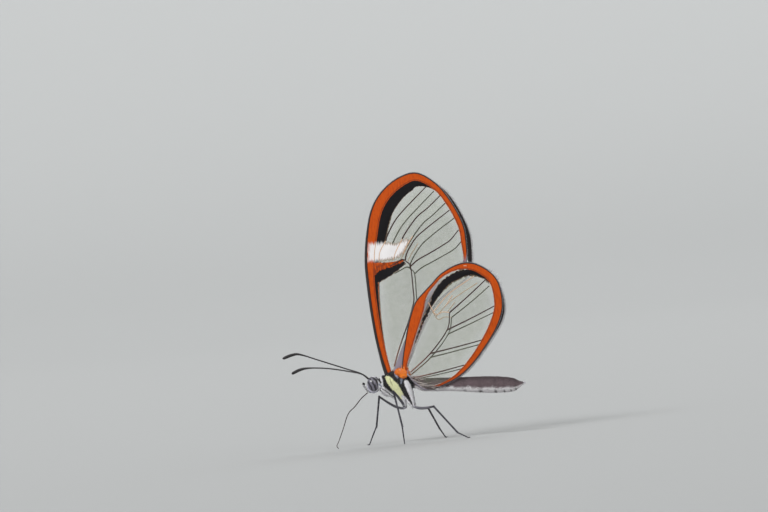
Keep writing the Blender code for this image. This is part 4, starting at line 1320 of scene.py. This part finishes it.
def spineParts(root, direction, length, radius):
    # a thin spine that bends a little aside with the square of the way along it
    direction = unit(direction)
    way = np.linspace(0, 1, 4)[:, None]
    bent = np.cross(direction, legForm["spineBend"])
    return limbTube(root + (direction * way + bent * way ** 2 * 0.12) * length,
                    np.array([1, 0.8, 0.5, 0.1]) * radius, 5)


def makeLeg(name, points):
    # hip to knee, knee to ankle and a jointed foot, each a profile carried along its own line
    kind, sideName = name.split("_")
    hip = leanBody(points[0]) / mm
    knee, ankle, foot = (overGround(point) / mm for point in points[1:])
    onward = unit((foot - ankle + (0, sides[sideName] * legForm["splay"], 0)) * (1, 1, 0))
    aside = np.array((-onward[1], onward[0], 0))
    toe = foot + onward * legForm["toe"]
    way = np.linspace(0, 1, 30)
    bow = np.sin(way ** legForm["sagLean"] * math.pi)
    sag = bow[:, None] * np.array((0, 0, legForm["femurSag"][name]))
    femurSwell, shinSwell = legForm["swellAt"]
    thickness = np.interp(way, [0, femurSwell, 1], legForm["femur"])
    parts = [limbTube(hip + (knee - hip) * way[:, None] + sag, thickness, 12)]
    parts.append(roundForm(knee * mm, [legForm["femur"][2] * 1.15 * mm] * 3, 0, 14, 8))
    thickness = np.interp(way, [0, shinSwell, 1], legForm["shin"])
    parts.append(limbTube(knee + (ankle - knee) * way[:, None], thickness, 12))
    parts.append(roundForm(ankle * mm, [legForm["shin"][2] * 1.1 * mm] * 3, 0, 14, 8))
    line = smoothCurve([ankle, ankle + (foot - ankle) * 0.6, foot, toe], 90)
    way = np.linspace(0, 1, len(line))
    dip, power = legForm["jointDip"]
    ringed = 1 - dip * (np.abs((way * legForm["tarsusJoints"]) % 1 - 0.5) * 2) ** power
    parts.append(limbTube(line, np.interp(way, [0, 1], legForm["tarsus"]) * ringed, 10))
    down = unit(ankle - knee)
    lateral = np.cross(down, (0, 1, 0))
    for turn in (-1, 1):
        ahead, back, over = legForm["spurWay"]
        stick = down * ahead + lateral * back + (0, over * turn, 0)
        parts.append(spineParts(ankle, stick, *legForm["spur"]))
        ahead, apart, lower = legForm["clawWay"]
        stick = onward * ahead + aside * apart * turn - (0, 0, lower)
        parts.append(spineParts(toe, stick, *legForm["claw"]))
    ahead, apart = legForm["spineWay"]
    for share in np.linspace(*legForm["spinesBetween"], legForm["spines"]):
        turn = share * legForm["spineTurn"]
        stick = down * ahead + lateral * math.cos(turn) * apart + (0, math.sin(turn) * apart, 0)
        parts.append(spineParts(knee + (ankle - knee) * share, stick, *legForm["spine"]))
    points, quads, tris = joinParts(parts)
    points[:, 2] = np.maximum(points[:, 2], 0.00001)
    mesh = makeMesh(name + "_limb", (points, quads, tris))
    near = np.linalg.norm(points / mm - hip, axis=1)
    thigh = np.linalg.norm(knee - hip)
    fades, full = legForm["toneEnds"]
    tone = legForm["femurTone"][kind] * softStep(near, fades * thigh, full * thigh)
    # painted highlight: pale specks at random points, for the glints of the leg's scales
    pale, without = legForm["glintSpecks"]
    glintSpecks = pale * (random.random(len(points)) > without)
    pale = np.maximum(np.maximum(softStep(near, *legForm["hipEnds"]), tone), glintSpecks)
    setTint(mesh, mixed(legForm["colour"], legForm["hip"], pale))
    addPiece(mesh, "horn", [name], legFinish)


def forelegBlack(rows, place):
    # black along the top, by the height over the limb's middle line
    return softStep(place[:, 2] - np.interp(place[:, 0], rows[:, 0], rows[:, 2]), *foreLeg["dark"])


def forelegHairTint(way, normal):
    dark = (normal[:, 2] + random.normal(0, 0.3, len(way)) > 0.45)[:, None]
    return np.where(dark, bodyColours["black"], bodyColours["white"])


print("legs")
for name, points in legs.items():
    makeLeg(name, points)
for sideName, side in sides.items():
    makeHairyLimb("foreleg_" + sideName, "_limb", foreLeg, side, "foreleg", forelegBlack, forelegHairTint)


# long hairs along the hindwings' inner margins

marginHair = {
    "count": 150,
    "line": [(1.8, 0.85), (2.4, 0.2), (3.2, -0.55), (4.1, -1.1), (5.0, -1.2)],
    "length": (0.6, 2.0),
    "width": 0.045,
    "across": (-0.3, 0.25),  # how far from the line, in the plane and out of it
    "layer": (-0.05, 0.10),
    "slope": (-0.12, 0.16),  # how steeply they lie: the middle and the spread
    "lift": (0, 0.08),
    "tints": [(0.90, 0.84, 0.80), (0.40, 0.30, 0.28), (0.06, 0.04, 0.04), (0.75, 0.62, 0.56),
              (0.10, 0.07, 0.07)],
}


def growMarginHair(sideName, side):
    # fine hairs rooted along the margin's line, lying back along the wing and a little out of its plane
    count = marginHair["count"]
    line = smoothCurve(marginHair["line"], 200)
    pick = random.integers(0, len(line), count)
    across = random.uniform(*marginHair["across"], count)
    x, up = line[pick, 0], line[pick, 1] + across
    layer = random.uniform(*marginHair["layer"], count)
    slope = random.normal(*marginHair["slope"], count)
    ways = wingWays(hindWing, x, up, layer, side, 1.0, slope, random.uniform(*marginHair["lift"], count))
    tint = np.array(marginHair["tints"])[random.integers(0, len(marginHair["tints"]), count)]
    places = np.stack([x / 20 + 0.2, across / 2 + 0.4], -1)
    length = random.uniform(*marginHair["length"], count)
    growTufts("hindwing_" + sideName + "_hair", *ways, length, marginHair["width"], tint, places, "membrane")


print("hairs")
for sideName, side in sides.items():
    growMarginHair(sideName, side)


# floor, light and camera

stage = {
    "colour": (0.45, 0.46, 0.46),
    "sky": 0.62,
    # radius and height of the bowl that is floor and backdrop in one
    "bowl": [(0.0, 0.0), (0.7, 0.0), (1.4, 0.0), (1.9, 0.06), (2.3, 0.3), (2.5, 0.7), (2.6, 1.2),
             (2.62, 1.5)],
}
lights = {
    # where it shines from, how wide it looks, strength
    "key": ((-0.45, -0.90, 0.66), 32.0, 2.5),
    "fill": ((0.85, -0.70, 0.45), 45.0, 1.0),
    "back": ((0.35, 0.85, 0.75), 40.0, 1.0),
}
shot = {
    "target": (-1.33, -1.6, 27.07),
    "azimuth": 8.0,
    "elevation": 0.5,
    "roll": 5.6,
    "distance": 1.2,
    "lens": 391.3,
    "clip": (0.01, 10),
}


def makeStage():
    # the bowl's profile turned about z
    rows = smoothCurve(stage["bowl"], 70)[1:]
    angle = np.linspace(0, 2 * math.pi, 96, endpoint=False)
    rings = np.stack([rows[:, :1] * np.cos(angle), rows[:, :1] * np.sin(angle), rows[:, 1:] + 0 * angle], -1)
    n, m = rings.shape[:2]
    index = np.arange(n * m).reshape(n, m)
    inner, outer = index[:-1], index[1:]
    quads = np.stack([outer, np.roll(outer, -1, 1), np.roll(inner, -1, 1), inner], -1).reshape(-1, 4)
    tris = np.stack([index[0], np.roll(index[0], -1), np.full(m, n * m)], -1)
    mesh = makeMesh("stage_bowl", (np.vstack([rings.reshape(-1, 3), [(0, 0, 0)]]), quads, tris))
    finish = {"Base Color": stage["colour"], "Roughness": 0.9, "Specular IOR Level": 0.1}
    mesh.materials.append(newMaterial("stagePaper", finish)[0])
    addObject("stage_bowl", mesh)


def makeLights():
    # three suns that shine toward the origin, and an even sky
    for name, (place, spread, strength) in lights.items():
        lamp = bpy.data.lights.new(name, "SUN")
        lamp.angle = math.radians(spread)
        lamp.energy = strength
        holder = addObject(name, lamp)
        holder.location = place
        holder.rotation_mode = "QUATERNION"
        holder.rotation_quaternion = Vector(place).to_track_quat("Z", "Y")
    world = bpy.data.worlds.new("studio")
    world.use_nodes = True
    sky = world.node_tree.nodes["Background"].inputs
    sky["Color"].default_value = (1, 1, 1, 1)
    sky["Strength"].default_value = stage["sky"]
    bpy.context.scene.world = world


def makeCamera():
    # looks at the middle of the picture; up leans to the right by the roll
    a, e, roll = (math.radians(shot[key]) for key in ("azimuth", "elevation", "roll"))
    back = Vector((math.sin(a) * math.cos(e), -math.cos(a) * math.cos(e), math.sin(e)))
    right = Vector((math.cos(a), math.sin(a), 0))
    up = back.cross(right)
    turnedRight = right * math.cos(roll) - up * math.sin(roll)
    turnedUp = right * math.sin(roll) + up * math.cos(roll)
    camera = addObject("camera", bpy.data.cameras.new("camera"))
    camera.data.lens = shot["lens"]
    camera.data.clip_start, camera.data.clip_end = shot["clip"]
    turn = Matrix((turnedRight, turnedUp, back)).transposed().to_4x4()
    camera.matrix_world = Matrix.Translation(Vector(shot["target"]) * mm + back * shot["distance"]) @ turn
    bpy.context.scene.camera = camera


print("stage")
makeStage()
makeLights()
makeCamera()
bpy.context.scene.view_settings.view_transform = "Standard"
bpy.context.scene.cycles.transparent_max_bounces = 40
